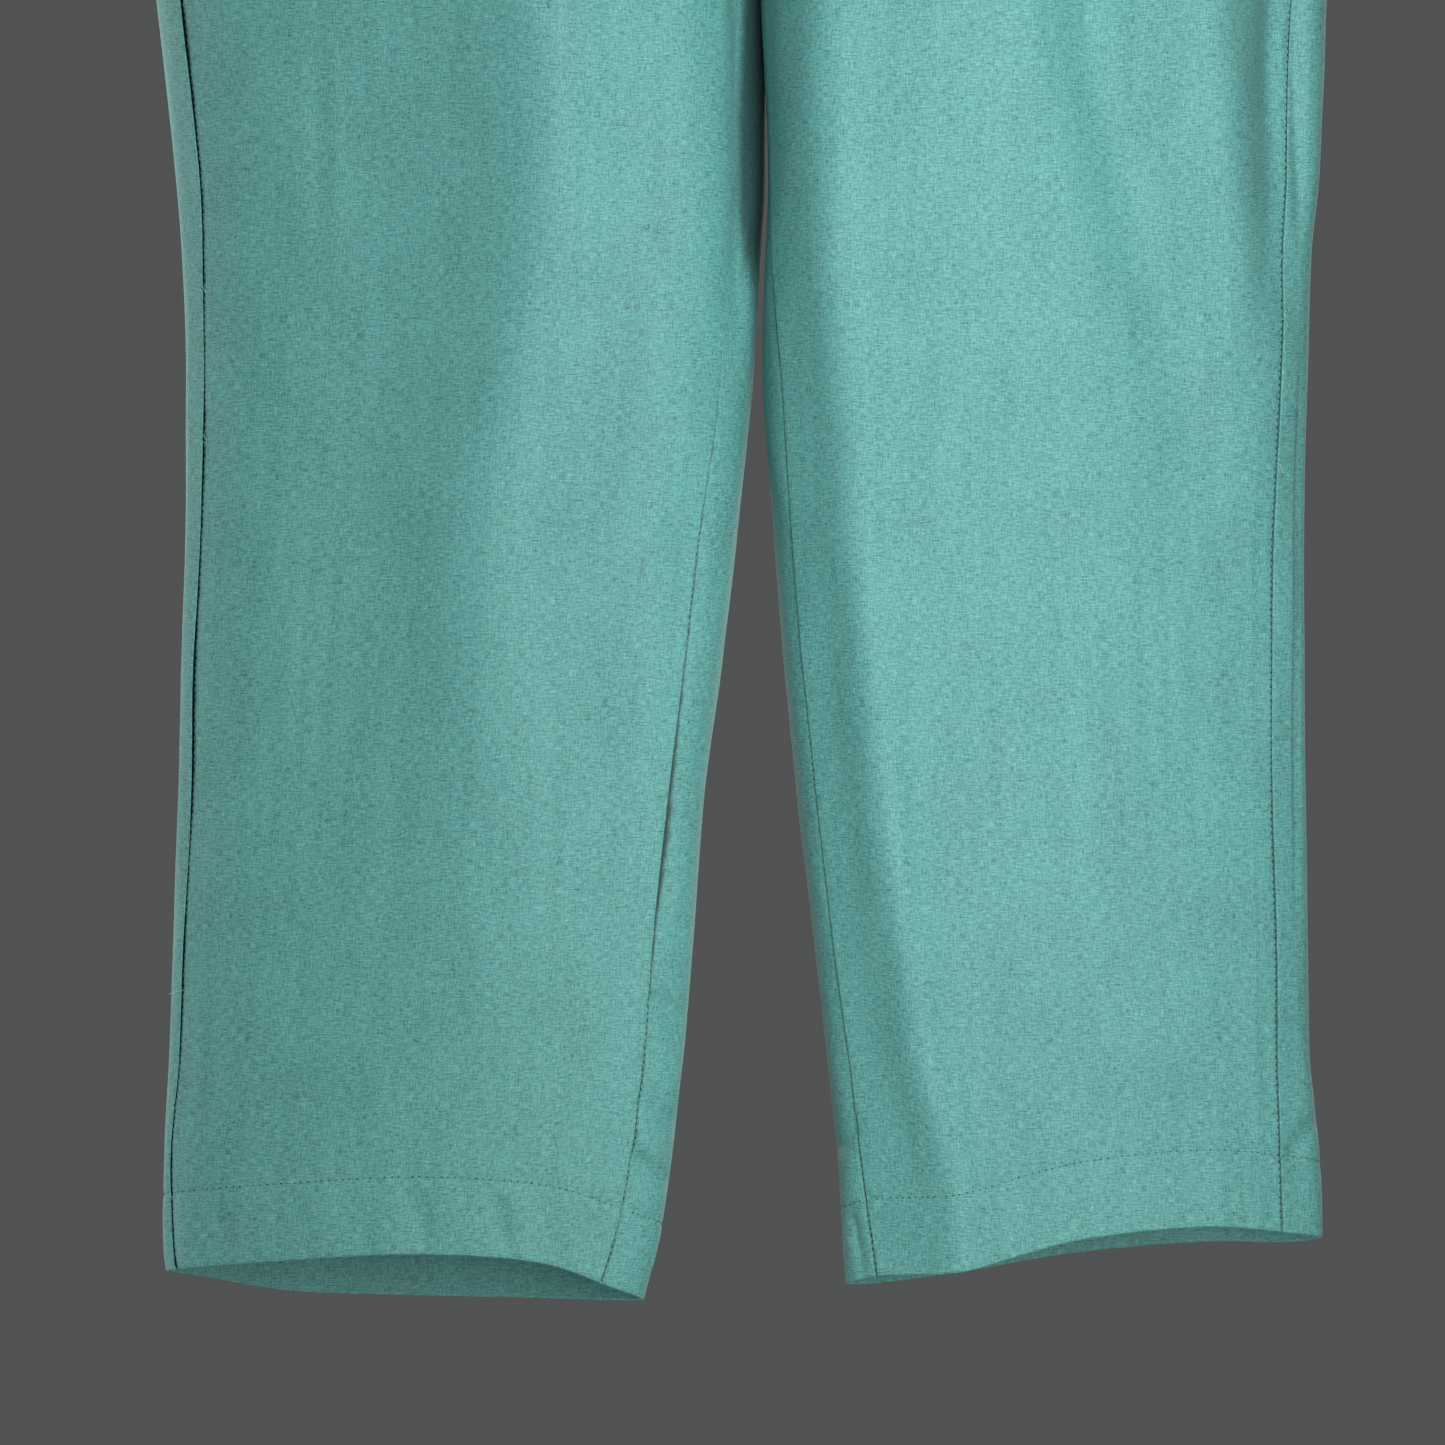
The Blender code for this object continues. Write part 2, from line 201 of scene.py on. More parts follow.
LEFT_MIDDLE = ((-480, 118, 0), (-560, 112, -2.0), (-620, 112, -2.5), (-700, 104, -1.5), (-800, 100, 0))

FOLDS = [
    Fold(Side.RIGHT, Face.FRONT, 26, RIGHT_RIDGE),
    Fold(Side.RIGHT, Face.FRONT, 34, ((-250, 92, 0), (-450, 88, -5.0), (-700, 72, -4.0), (-880, 70, 0))),
    Fold(Side.RIGHT, Face.FRONT, 16, ((-250, 212, 0), (-420, 212, 3.0), (-600, 196, 3.0), (-800, 180, 0))),
    Fold(Side.LEFT, Face.FRONT, 13, LEFT_TURN),
    Fold(Side.RIGHT, Face.FRONT, 9, RIGHT_INNER),
    Fold(Side.LEFT, Face.FRONT, 17, LEFT_SLANT),
    Fold(Side.LEFT, Face.FRONT, 14, LEFT_SLANT_RIDGE),
    Fold(Side.LEFT, Face.FRONT, 11, LEFT_PLEAT),
    Fold(Side.LEFT, Face.FRONT, 20, LEFT_MIDDLE),
    Fold(Side.RIGHT, Face.BACK, 17, ((-80, 92, 0), (-260, 97, 4.0), (-520, 104, 0))),
    Fold(Side.RIGHT, Face.BACK, 18, ((-60, 140, 0), (-240, 134, -4.0), (-420, 128, 0))),
    Fold(Side.RIGHT, Face.BACK, 18, ((-330, 70, 0), (-560, 64, 3.0), (-850, 58, 0))),
    Fold(Side.LEFT, Face.BACK, 17, ((-70, 104, 0), (-300, 98, 4.0), (-560, 92, 0))),
    Fold(Side.LEFT, Face.BACK, 18, ((-60, 150, 0), (-220, 141, -4.0), (-400, 132, 0))),
    Fold(Side.LEFT, Face.BACK, 18, ((-300, 64, 0), (-560, 68, 3.0), (-820, 72, 0))),
]

CREASES = [
    Crease(Face.FRONT, -172, -420, -170, -560, 2.4, -0.6),
    Crease(Face.FRONT, -166, -415, -163, -520, 2.0, 0.5),
    Crease(Face.FRONT, 104, -618, 172, -620, 1.8, 0.6),
    Crease(Face.FRONT, 108, -622, 168, -624, 1.8, -0.6),
    Crease(Face.FRONT, 40, -697, 150, -699, 1.8, 0.5),
    Crease(Face.FRONT, -216, -438, -206, -448, 3.0, -1.2),
    Crease(Face.FRONT, -36, -788, -19, -799, 3.4, -1.5),
    Crease(Face.FRONT, -40, -822, -21, -832, 3.2, -1.9),
    Crease(Face.FRONT, -44, -862, -25, -880, 4.2, -2.2),
    Crease(Face.FRONT, -47, -886, -29, -903, 3.4, -2.2),
    Crease(Face.FRONT, -47, -876, -30, -891, 3.4, 1.6),
    Crease(Face.FRONT, 38, -890, 48, -870, 2.6, -1.8),
    Crease(Face.FRONT, 43, -905, 50, -945, 2.4, -1.6),
    Crease(Face.FRONT, 238, -870, 220, -892, 4.0, -2.0),
    Crease(Face.FRONT, 227, -528, 226, -826, 1.3, -1.4),
    Crease(Face.FRONT, 222, -400, 228, -528, 3.2, -2.6),
    Crease(Face.FRONT, 236, -415, 234, -520, 2.6, 0.8),
    Crease(Face.FRONT, 196, -893, 204, -928, 5.0, -1.3),
    Crease(Face.FRONT, 214, -896, 218, -930, 4.4, -1.1),
    Crease(Face.FRONT, -214, -905, -206, -930, 4.4, -1.1),
    Crease(Face.FRONT, -132, -898, -126, -926, 5.0, -1.2),
    Crease(Face.FRONT, -100, -900, -96, -926, 4.6, -1.1),
    Crease(Face.BACK, -60, -300, 40, -268, 6.0, -1.2),
    Crease(Face.BACK, 60, -306, -30, -262, 7.0, 1.2),
    Crease(Face.BACK, -150, -620, -60, -628, 2.2, -0.5),
    Crease(Face.BACK, 70, -560, 160, -548, 2.4, -0.5),
    Crease(Face.BACK, 96, -700, 190, -704, 2.0, 0.4),
    Crease(Face.BACK, -190, -700, -120, -690, 2.0, 0.4),
    Crease(Face.BACK, -80, -860, -60, -900, 4.0, -0.8),
    Crease(Face.BACK, 150, -850, 170, -896, 4.0, -0.8),
    Crease(Face.FRONT, -40, -300, 10, -268, 6.0, -1.0),
    Crease(Face.FRONT, 50, -306, 4, -266, 6.0, 1.0),
]

# How far from a seam the painted shade reaches, and how dark it is painted, down each seam; the width also sets how far
# the cloth under the seam dips
SEAM_SHADES = {
    (Side.RIGHT, "outseam"): ((-380, 0.9, 0.9), (-830, 0.9, 0.9), (-880, 0.5, 0.8), (-935, 0.6, 0.9)),
    (Side.LEFT, "outseam"): ((-380, 0.35, 0.35), (-935, 0.35, 0.35)),
    (Side.RIGHT, "inseam"): (
        (-380, 1.0, 0.95),
        (-600, 1.0, 0.95),
        (-690, 1.3, 0.97),
        (-725, 2.3, 1.0),
        (-765, 3.0, 1.0),
        (-795, 1.6, 0.97),
        (-830, 0.9, 0.95),
        (-935, 1.0, 0.95),
    ),
    (Side.LEFT, "inseam"): (
        (-380, 0.7, 0.85),
        (-690, 0.6, 0.75),
        (-720, 0.35, 0.4),
        (-850, 0.35, 0.4),
        (-870, 0.8, 0.9),
        (-935, 0.9, 0.92),
    ),
    (Side.RIGHT, "centre"): ((-380, 0.5, 0.8), (-935, 0.5, 0.8)),
    (Side.LEFT, "centre"): ((-380, 0.5, 0.8), (-935, 0.5, 0.8)),
}
# Where the painted shadow starts on the right leg's cloth, between the legs: height, and place across
INNER_SHADE = ((-300, 0.0), (-420, -2.6), (-468, -4.0), (-507, -3.6), (-545, 0.5))

# Distances in from a seam at which a panel's cloth has its closest columns
EDGE_COLUMNS = (0.0, 0.15, 0.35, 0.6, 1.0, 1.5, 2.2, 3.2, 4.5, 6.0, 7.2, 8.2, 9.0, 9.8, 10.8, 12.2)
TUCKED_UNDER = (-1.8, -0.9)


def smooth_step(share: np.ndarray) -> np.ndarray:
    """A share held between 0 and 1, with soft ends."""
    share = np.clip(share, 0.0, 1.0)
    return share * share * (3 - 2 * share)


def ripple(across: np.ndarray, along: np.ndarray, length: float, seed: float) -> np.ndarray:
    """A soft uneven wave over a surface, from -1 to 1.

    Args:
        across: place across the surface, in millimetres.
        along: place along the surface, in millimetres.
        length: the usual distance from crest to crest, in millimetres.
        seed: a number that sets one wave apart from another.

    Returns:
        The wave's height at each place.
    """
    turn = math.tau / length
    first = np.sin(turn * (across + 0.31 * along) + 5.1 * seed)
    second = np.sin(turn * (0.62 * across - 0.77 * along) + 2.3 * seed)
    third = np.sin(turn * (1.37 * across + 0.53 * along) + 7.7 * seed + 1.4 * first)
    return (first + second + third) / 3


def hermite(places: np.ndarray, values: np.ndarray, where: np.ndarray) -> np.ndarray:
    """Values on a smooth curve through rows of a table.

    Args:
        places: the rows' places, rising.
        values: one row of values for each place.
        where: the places to read.

    Returns:
        The values there, in one more dimension than where has.
    """
    inner = (values[2:] - values[:-2]) / (places[2:] - places[:-2])[:, None]
    first = (values[1:2] - values[:1]) / (places[1] - places[0])
    last = (values[-1:] - values[-2:-1]) / (places[-1] - places[-2])
    slopes = np.concatenate((first, inner, last))
    below = np.clip(np.searchsorted(places, where), 1, len(places) - 1)
    above = below - 1
    span = places[below] - places[above]
    share = ((where - places[above]) / span)[..., None]
    span = span[..., None]
    square = share * share
    cube = square * share
    return (
        values[above] * (2 * cube - 3 * square + 1)
        + slopes[above] * span * (cube - 2 * square + share)
        + values[below] * (3 * square - 2 * cube)
        + slopes[below] * span * (cube - square)
    )


def join_share(height: np.ndarray, rise: float) -> np.ndarray:
    """1 where a leg is a tube of its own, falling to 0 where both sides make one round body."""
    climbed = np.clip((height - CROTCH) / rise, 0.0, 1.0)
    return 1 - climbed**JOIN_POWER * (1 + JOIN_POWER * (1 - climbed))


class SideForm:
    """One side of the garment, from the waist to the hem: the surface that its cloth lies on."""

    def __init__(self, side: Side, rows: list[Level], hem: list[float]) -> None:
        """Set up the smooth curves of one side.

        Args:
            side: the side.
            rows: its levels, from the top down.
            hem: heights of its hem's edge every 30 degrees.
        """
        table = np.array([list(row) for row in rows], float)
        self.side = side
        self.depths = -table[:, 0]
        self.values = table[:, 1:]
        turn = [*hem[-2:], *hem, *hem[:3]]
        self.hem_angles = math.radians(30) * np.arange(-2, len(hem) + 3)
        self.hem_heights = np.array(turn, float)[:, None]

    def level(self, height: np.ndarray) -> Level:
        """The side's sizes at each height."""
        columns = hermite(self.depths, self.values, -height)
        return Level(height, *np.moveaxis(columns, -1, 0))

    def hem_height(self, angle: np.ndarray) -> np.ndarray:
        """Height of the hem's edge at each angle round the leg."""
        return hermite(self.hem_angles, self.hem_heights, angle % math.tau)[..., 0]

    def half_width(self, level: Level, rise: np.ndarray | float) -> np.ndarray:
        """Half the width of the round form that the side's front or back belongs to."""
        joined = join_share(level.height, rise)
        return (level.outer - level.inner - SEAM_GAP / 2 * joined) / (1 + joined)

    def seam_angles(self, face: Face, height: np.ndarray) -> tuple[np.ndarray, np.ndarray]:
        """Angles of a panel's two edges round its side: the outseam, then the inseam or centre."""
        level = self.level(height)
        rise = FRONT_RISE if face is Face.FRONT else BACK_RISE
        outseam = np.arccos(1 - level.outseam / self.half_width(level, FRONT_RISE))
        inseam = np.arccos(1 - np.maximum(level.inseam, 0) / self.half_width(level, rise))
        end = np.arccos(-join_share(height, rise))
        return outseam, face.value * end - inseam

    def section(self, angle: np.ndarray, height: np.ndarray) -> np.ndarray:
        """Points of the side's plain section: angle 0 is its outer edge, a right angle its front."""
        level = self.level(height)
        front = np.sin(angle) >= 0
        half = self.half_width(level, np.where(front, FRONT_RISE, BACK_RISE))
        across = level.outer - half * (1 - np.cos(angle))
        depth = level.front * (1 - level.lean * np.cos(angle))
        squarer = 1 - EDGE_FULLNESS * smooth_step((EDGE_TOP - height) / 90)
        depth = np.where(front, depth, level.back) * np.sign(np.sin(angle)) * np.abs(np.sin(angle)) ** squarer
        return np.stack((self.side.value * across, level.offset - depth, height), -1)

    def gather_relief(self, face: Face, share: np.ndarray, height: np.ndarray) -> np.ndarray:
        """How far the elastic's gathers push the cloth out, with a crest on every seam."""
        gathers = GATHERS_FRONT if face is Face.FRONT else GATHERS_BACK
        below = np.maximum(CASING_FOOT - height, 0)
        grown = GATHER_PANEL_DEPTH - GATHER_CASING_DEPTH
        depth = GATHER_CASING_DEPTH + grown * (1 - np.exp(-below / GATHER_SWELL))
        depth = depth * (1 - smooth_step(below / GATHER_LENGTH))
        uneven = share + GATHER_UNEVENNESS * np.sin(GATHER_DRIFTS * math.tau * share)
        return depth * np.cos(math.tau * gathers * uneven)

    def fold_relief(self, face: Face, inwards: np.ndarray, height: np.ndarray) -> np.ndarray:
        """How far the long soft folds push the cloth out."""
        out = np.zeros_like(inwards)
        for fold in FOLDS:
            if fold.side is self.side and fold.face is face:
                line = np.array(fold.line, float)
                held = np.clip(-height, -line[0, 0], -line[-1, 0])
                middle, depth = np.moveaxis(hermite(-line[:, 0], line[:, 1:], held), -1, 0)
                across = (inwards - middle) / fold.width
                out += depth * np.exp(-across * across)
        return out

    def cloth(self, face: Face, share: np.ndarray, height: np.ndarray) -> np.ndarray:
        """Points of the cloth's outer face, share of the way across a panel."""
        first, last = self.seam_angles(face, height)
        angle = first + (last - first) * share
        point = self.section(angle, height)
        tangent = self.section(angle + 0.01, height) - self.section(angle - 0.01, height)
        outwards = np.stack((-tangent[..., 1], tangent[..., 0]), -1) * self.side.value
        outwards /= np.linalg.norm(outwards, axis=-1, keepdims=True)
        inwards = self.level(height).outer - self.side.value * point[..., 0]
        held = smooth_step(np.abs(np.sin(angle)) / FOLD_FADE)
        folds = np.where(
            np.sin(angle) > 0,
            self.fold_relief(Face.FRONT, inwards, height),
            self.fold_relief(Face.BACK, inwards, height),
        )
        out = self.gather_relief(face, share, height) + held * folds
        point[..., :2] += outwards * out[..., None]
        return point

    def faced(self, face: Face, share: np.ndarray, height: np.ndarray) -> tuple[np.ndarray, np.ndarray]:
        """Points of the cloth's outer face, with the normals that point out of them."""
        across = self.cloth(face, share + SHARE_STEP, height) - self.cloth(face, share - SHARE_STEP, height)
        up = self.cloth(face, share, height + HEIGHT_STEP) - self.cloth(face, share, height - HEIGHT_STEP)
        normals = np.cross(across, up) * -float(self.side.value * face.value)
        normals /= np.linalg.norm(normals, axis=-1, keepdims=True)
        return self.cloth(face, share, height), normals

    def follow(self, face: Face, share: np.ndarray, height: np.ndarray) -> np.ndarray:
        """Heights moved with the hem's own rise and fall, more the nearer they are to it."""
        first, last = self.seam_angles(face, height)
        own = self.hem_height(first + (last - first) * share) - HEM
        return height + np.interp(height, FOLLOW_HEIGHTS, FOLLOW_SHARES) * own

    def shares(self, face: Face, height: np.ndarray, arcs: np.ndarray) -> tuple[np.ndarray, np.ndarray]:
        """Turn distances along the cloth into shares of its panel.

        Args:
            face: the panel's face.
            height: one height for each row.
            arcs: a row of distances for each height, where those from -inf to 0 are before the outseam.
                A whole row is given as shares of the way from 12 mm in to 12 mm in at the other end.

        Returns:
            The shares, and each row's whole width.
        """
        even = np.linspace(-0.04, 1.04, ARC_SAMPLES)
        rows = np.repeat(height[:, None], ARC_SAMPLES, 1)
        points = self.cloth(face, np.repeat(even[None], len(height), 0), rows)
        steps = np.linalg.norm(np.diff(points, axis=1), axis=-1)
        run = np.concatenate((np.zeros((len(height), 1)), np.cumsum(steps, 1)), 1)
        start = np.array([np.interp(0.0, even, row) for row in run])
        width = np.array([np.interp(1.0, even, row) for row in run]) - start
        wanted = arcs(width) + start[:, None]
        found = [np.interp(want, row, even) for want, row in zip(wanted, run)]
        return np.array(found), width


FORMS = {
    Side.RIGHT: SideForm(
        Side.RIGHT, [row._replace(inner=-row.inner) for row in BODY_LEVELS] + RIGHT_LEVELS, RIGHT_HEM
    ),
    Side.LEFT: SideForm(Side.LEFT, BODY_LEVELS + LEFT_LEVELS, LEFT_HEM),
}


@dataclass(frozen=True)
class Patch:
    """A grid of points of cloth, in rows from its top, with what its mesh needs of each."""

    points: np.ndarray
    normals: np.ndarray
    across: np.ndarray
    along: np.ndarray
    painted_shade: np.ndarray

    def mesh(self, name: str, flipped: bool = False, round_it: bool = False) -> bpy.types.Mesh:
        """Map a flat grid to these points.

        Args:
            name: the mesh's name.
            flipped: whether columns run the other way, so that faces point outwards.
            round_it: whether the last column meets the first.

        Returns:
            The new mesh, in metres, with a UV map in metres and a float attribute of painted shade.
        """
        rows, columns = self.points.shape[0] - 1, self.points.shape[1] - 1
        builder = bmesh.new()
        bmesh.ops.create_grid(builder, x_segments=columns, y_segments=rows, size=0.5)
        lie = builder.loops.layers.uv.new("cloth")
        # painted shade: a float on each point that darkens the cloth's colour beside seams and between the legs
        painted_dark = builder.verts.layers.float.new("painted_shade")
        points = self.points * MM
        for vert in builder.verts:
            row = round((0.5 - vert.co.y) * rows)
            column = round((vert.co.x + 0.5) * columns)
            if flipped:
                column = columns - column
            place = (self.across[row, column] * MM, self.along[row, column] * MM)
            for loop in vert.link_loops:
                loop[lie].uv = place
            vert[painted_dark] = self.painted_shade[row, column]
            vert.co = points[row, column]
        if round_it:
            bmesh.ops.remove_doubles(builder, verts=builder.verts, dist=0.02 * MM)
        mesh = bpy.data.meshes.new(name)
        builder.to_mesh(mesh)
        builder.free()
        mesh.shade_smooth()
        return mesh


def add_piece(name: str, mesh: bpy.types.Mesh, finish: bpy.types.Material) -> bpy.types.Object:
    """Show a mesh as a piece that rides on the garment's only body.

    Args:
        name: the piece's name.
        mesh: its mesh, in place.
        finish: its material.

    Returns:
        The new object.
    """
    mesh.materials.append(finish)
    piece = bpy.data.objects.new(name, mesh)
    bpy.context.scene.collection.objects.link(piece)
    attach(piece, "root")
    return piece


def thicken(piece: bpy.types.Object, wall: float) -> None:
    """Give a sheet its wall, inwards from its shown face."""
    solidify = piece.modifiers.new("wall", "SOLIDIFY")
    solidify.thickness = wall * MM
    solidify.offset = -1.0
    solidify.use_rim = True


@dataclass(frozen=True)
class Panel:
    """A front or back of one leg and its half of the body."""

    side: Side
    face: Face
    column_pitch: float = 3.4
    gather_pitch: float = 2.2
    row_pitch: float = 3.4
    hem_pitch: float = 1.7
    proud: float = 0.4
    sunk: float = 1.0
    allowance_in: float = 9.4
    allowance_height: float = 0.22
    pucker_depth: float = 0.42

    @property
    def name(self) -> str:
        """The name of the solid that this panel stands for."""
        return f"{self.face.name.lower()}_panel_{self.side.name.lower()}"

    @property
    def outwards(self) -> float:
        """The sign that turns a grid's normal outwards."""
        return float(self.side.value * self.face.value)

    def laps(self, seam: str) -> bool:
        """Whether this panel is the upper layer at its outseam, inseam or centre seam."""
        if seam == "outseam":
            return self.face is Face.BACK
        if seam == "inseam":
            return self.face is Face.FRONT
        return self.side is Side.LEFT

    def rows(self) -> np.ndarray:
        """Heights of the rows, from under the casing to just above the hem's roll."""
        top = CASING_FOOT + 3.0
        stretches = (
            (top, -62.0, self.gather_pitch),
            (-62.0, -140.0, 2.8),
            (-140.0, -880.0, self.row_pitch),
            (-880.0, HEM + HEM_ROLL, self.hem_pitch),
        )
        runs = [np.arange(start, foot, -pitch) for start, foot, pitch in stretches]
        return np.concatenate((*runs, [HEM + HEM_ROLL]))

    def columns(self, width: np.ndarray) -> np.ndarray:
        """Distances from the outseam of the columns of each row, for the rows' widths."""
        tucked_out = () if self.laps("outseam") else TUCKED_UNDER
        near = np.array([*tucked_out, *EDGE_COLUMNS])
        far = np.array(EDGE_COLUMNS)
        inner = EDGE_COLUMNS[-1]
        count = int(np.ceil((width.max() - 2 * inner) / self.column_pitch))
        even = inner + (width[:, None] - 2 * inner) * np.linspace(0, 1, count + 1)[None, 1:-1]
        start = np.repeat(near[None], len(width), 0)
        end = width[:, None] - far[None, ::-1]
        tucked_in = width[:, None] - np.array(TUCKED_UNDER)[None, ::-1]
        parts = [start, even, end]
        if not self.laps("inseam"):
            parts.append(tucked_in)
        return np.concatenate(parts, 1)

    def relief(self, point: np.ndarray, arc: np.ndarray, width: np.ndarray, height: np.ndarray) -> np.ndarray:
        """How far the fine forms push the cloth out.

        Args:
            point: places on the plain cloth.
            arc: distances from the outseam.
            width: whole widths of the panel at each place.
            height: nominal heights, before the hem's rise and fall.

        Returns:
            The distance out at each place.
        """
        rest = width - arc
        out = 0.35 * ripple(arc, height, 74, 1.7 + self.outwards) * smooth_step((height - HEM) / 60)
        out = out + 0.12 * ripple(arc, height * 0.4, 23, 4.1 + self.face.value)
        out = out + self.seam_relief(arc, "outseam", height)
        in_leg = smooth_step((CROTCH - height) / 12)
        inner = in_leg * self.seam_relief(rest, "inseam", height)
        out = out + inner + (1 - in_leg) * self.seam_relief(rest, "centre", height)
        ridge = np.exp(-(((arc - self.allowance_in) / 0.9) ** 2))
        shown = smooth_step((-560 - height) / 60) if self.face is Face.FRONT else 0.6
        out = out + self.allowance_height * ridge * shown
        out = out + self.pucker_relief(arc, height)
        out = out + self.crease_relief(point)
        below = CASING_FOOT - height
        share = np.clip(arc / width, 0, 1)
        gathers = GATHERS_FRONT if self.face is Face.FRONT else GATHERS_BACK
        drift = 0.006 * np.sin(17 * share + below / 19)
        fine = np.cos(math.tau * 3 * gathers * (share + drift) + 1.2 * np.sin(9 * share))
        out = out + 0.8 * fine * np.exp(-np.maximum(below, 0) / 24) * smooth_step((below + 4) / 5)
        return out

    def seam_relief(self, inwards: np.ndarray, seam: str, height: np.ndarray) -> np.ndarray:
        """The roll of an upper edge, or the dip of the cloth that goes under it."""
        if self.laps(seam):
            swell = self.proud * (1 + 0.25 * ripple(height, inwards, 31, 0.3))
            roll = 1 - np.clip(inwards / ROLL_RADIUS, 0, 1)
            return swell * np.exp(-((inwards / 4.5) ** 2)) - ROLL_RADIUS * (1 - np.sqrt(1 - roll * roll))
        wide = self.shade_width(seam, height)[0]
        dip = np.exp(-np.maximum(inwards, 0) / (0.5 + 0.6 * wide))
        return -(self.sunk * (0.5 + 0.6 * wide)) * dip - 0.25 * np.exp(-((inwards / 5.0) ** 2))

    def shade_width(self, seam: str, height: np.ndarray) -> tuple[np.ndarray, np.ndarray]:
        """How wide and how dark a seam's painted shade is at each height."""
        table = np.array(SEAM_SHADES[self.side, seam], float)
        wide, dark = (np.interp(-height, -table[:, 0], table[:, column]) for column in (1, 2))
        uneven = 1 + 0.3 * ripple(height, 0 * height, 9.0, 0.9 * self.side.value)
        return wide * uneven, dark

    def painted_shade(self, point: np.ndarray, arc: np.ndarray, rest: np.ndarray, height: np.ndarray) -> np.ndarray:
        """How dark the painted shade on the cloth is, beside seams and between the legs."""
        found = np.zeros(arc.shape)
        in_leg = smooth_step((CROTCH - height) / 12)
        for seam, inwards, share in (("outseam", arc, 1.0), ("inseam", rest, in_leg), ("centre", rest, 1 - in_leg)):
            if not self.laps(seam):
                # painted shade in the groove beside the edge that laps over this panel
                wide, dark = self.shade_width(seam, height)
                near = 1 - smooth_step((inwards - 0.5 * wide) / (0.8 * wide))
                found = np.maximum(found, share * dark * near)
        # painted shadow cast by the left leg on the right leg's inner side, between the legs
        if self.side is Side.RIGHT:
            line = np.array(INNER_SHADE, float)
            past = smooth_step((point[..., 0] - np.interp(-height, -line[:, 0], line[:, 1])) / 5)
            low = smooth_step((height - line[-1, 0]) / 30)
            found = np.maximum(found, 0.9 * past * low * smooth_step((line[0, 0] - height) / 60))
        return found

    def pucker_relief(self, arc: np.ndarray, height: np.ndarray) -> np.ndarray:
        """The hem's stitched groove, and the soft upright puckers round it."""
        up = height - (HEM + HEM_DEPTH)
        band = np.exp(-((up / 11) ** 2)) * (0.55 + 0.45 * ripple(arc, up, 61, 2.2))
        pucker = ripple(arc, up * 0.35, 12.5, 3.3 + self.side.value)
        groove = -0.32 * np.exp(-((up / 1.3) ** 2))
        under = smooth_step(-up / 5) * smooth_step((up + 40) / 12)
        slack = 0.5 * ripple(arc, up * 0.5, 27, 5.9 + self.side.value) * (0.35 * band + under)
        return self.pucker_depth * band * pucker + slack + groove

    def crease_relief(self, point: np.ndarray) -> np.ndarray:
        """Short creases, each from one point to another on the front or back."""
        out = np.zeros(point.shape[:-1])
        place = point[..., [0, 2]]
        on_front = point[..., 1] < 0
        for crease in CREASES:
            start = np.array((crease.x, crease.z))
            run = np.array((crease.to_x, crease.to_z)) - start
            length = np.linalg.norm(run)
            offset = place - start
            along = offset @ run / length**2
            beside = (offset @ np.array((-run[1], run[0]))) / length / crease.width
            ends = smooth_step(along * 3) * smooth_step((1 - along) * 3)
            here = on_front == (crease.face is Face.FRONT)
            out += np.where(here, crease.depth * np.exp(-beside * beside) * ends, 0)
        return out

    def surface(self, heights: np.ndarray, arcs) -> Patch:
        """Points of the finished cloth.

        Args:
            heights: one nominal height for each row.
            arcs: a function that turns the rows' widths into rows of distances from the outseam.

        Returns:
            The grid of points, its normals and its lie.
        """
        form = FORMS[self.side]
        share, width = form.shares(self.face, heights, arcs)
        arc = arcs(width)
        nominal = np.repeat(heights[:, None], arc.shape[1], 1)
        wide = np.repeat(width[:, None], arc.shape[1], 1)
        height = form.follow(self.face, share, nominal)
        plain, normals = form.faced(self.face, share, height)
        out = self.relief(plain, arc, wide, nominal)
        # painted shade, beside seams and between the legs
        painted_shade = self.painted_shade(plain, arc, wide - arc, nominal)
        return Patch(plain + normals * out[..., None], normals, arc - wide / 2, height, painted_shade)

    def cut(self) -> Patch:
        """The whole panel, rolled under at the hem's edge."""
        patch = self.surface(self.rows(), self.columns)
        foot = patch.points[-1]
        inwards = patch.normals[-1]
        rolled, lower = [], []
        for turn in (0.3, 0.6, 0.85, 1.0):
            angle = turn * math.pi / 2
            drop = np.array((0, 0, -HEM_ROLL * math.sin(angle)))
            rolled.append(foot - inwards * HEM_ROLL * (1 - math.cos(angle)) + drop)
            lower.append(patch.along[-1] - HEM_ROLL * angle)
        return Patch(
            np.concatenate((patch.points, rolled)),
            np.concatenate((patch.normals, [inwards] * len(rolled))),
            np.concatenate((patch.across, [patch.across[-1]] * len(rolled))),
            np.concatenate((patch.along, lower)),
            np.concatenate((patch.painted_shade, [patch.painted_shade[-1]] * len(rolled))),
        )

    def build(self, finish: bpy.types.Material) -> bpy.types.Object:
        """Make the panel, hide its solid and say what cloth it is."""
        patch = self.cut()
        piece = add_piece(f"{self.name}_cloth", patch.mesh(self.name, self.outwards > 0), finish)
        thicken(piece, CLOTH_WALL)
        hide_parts(self.name)
        return piece


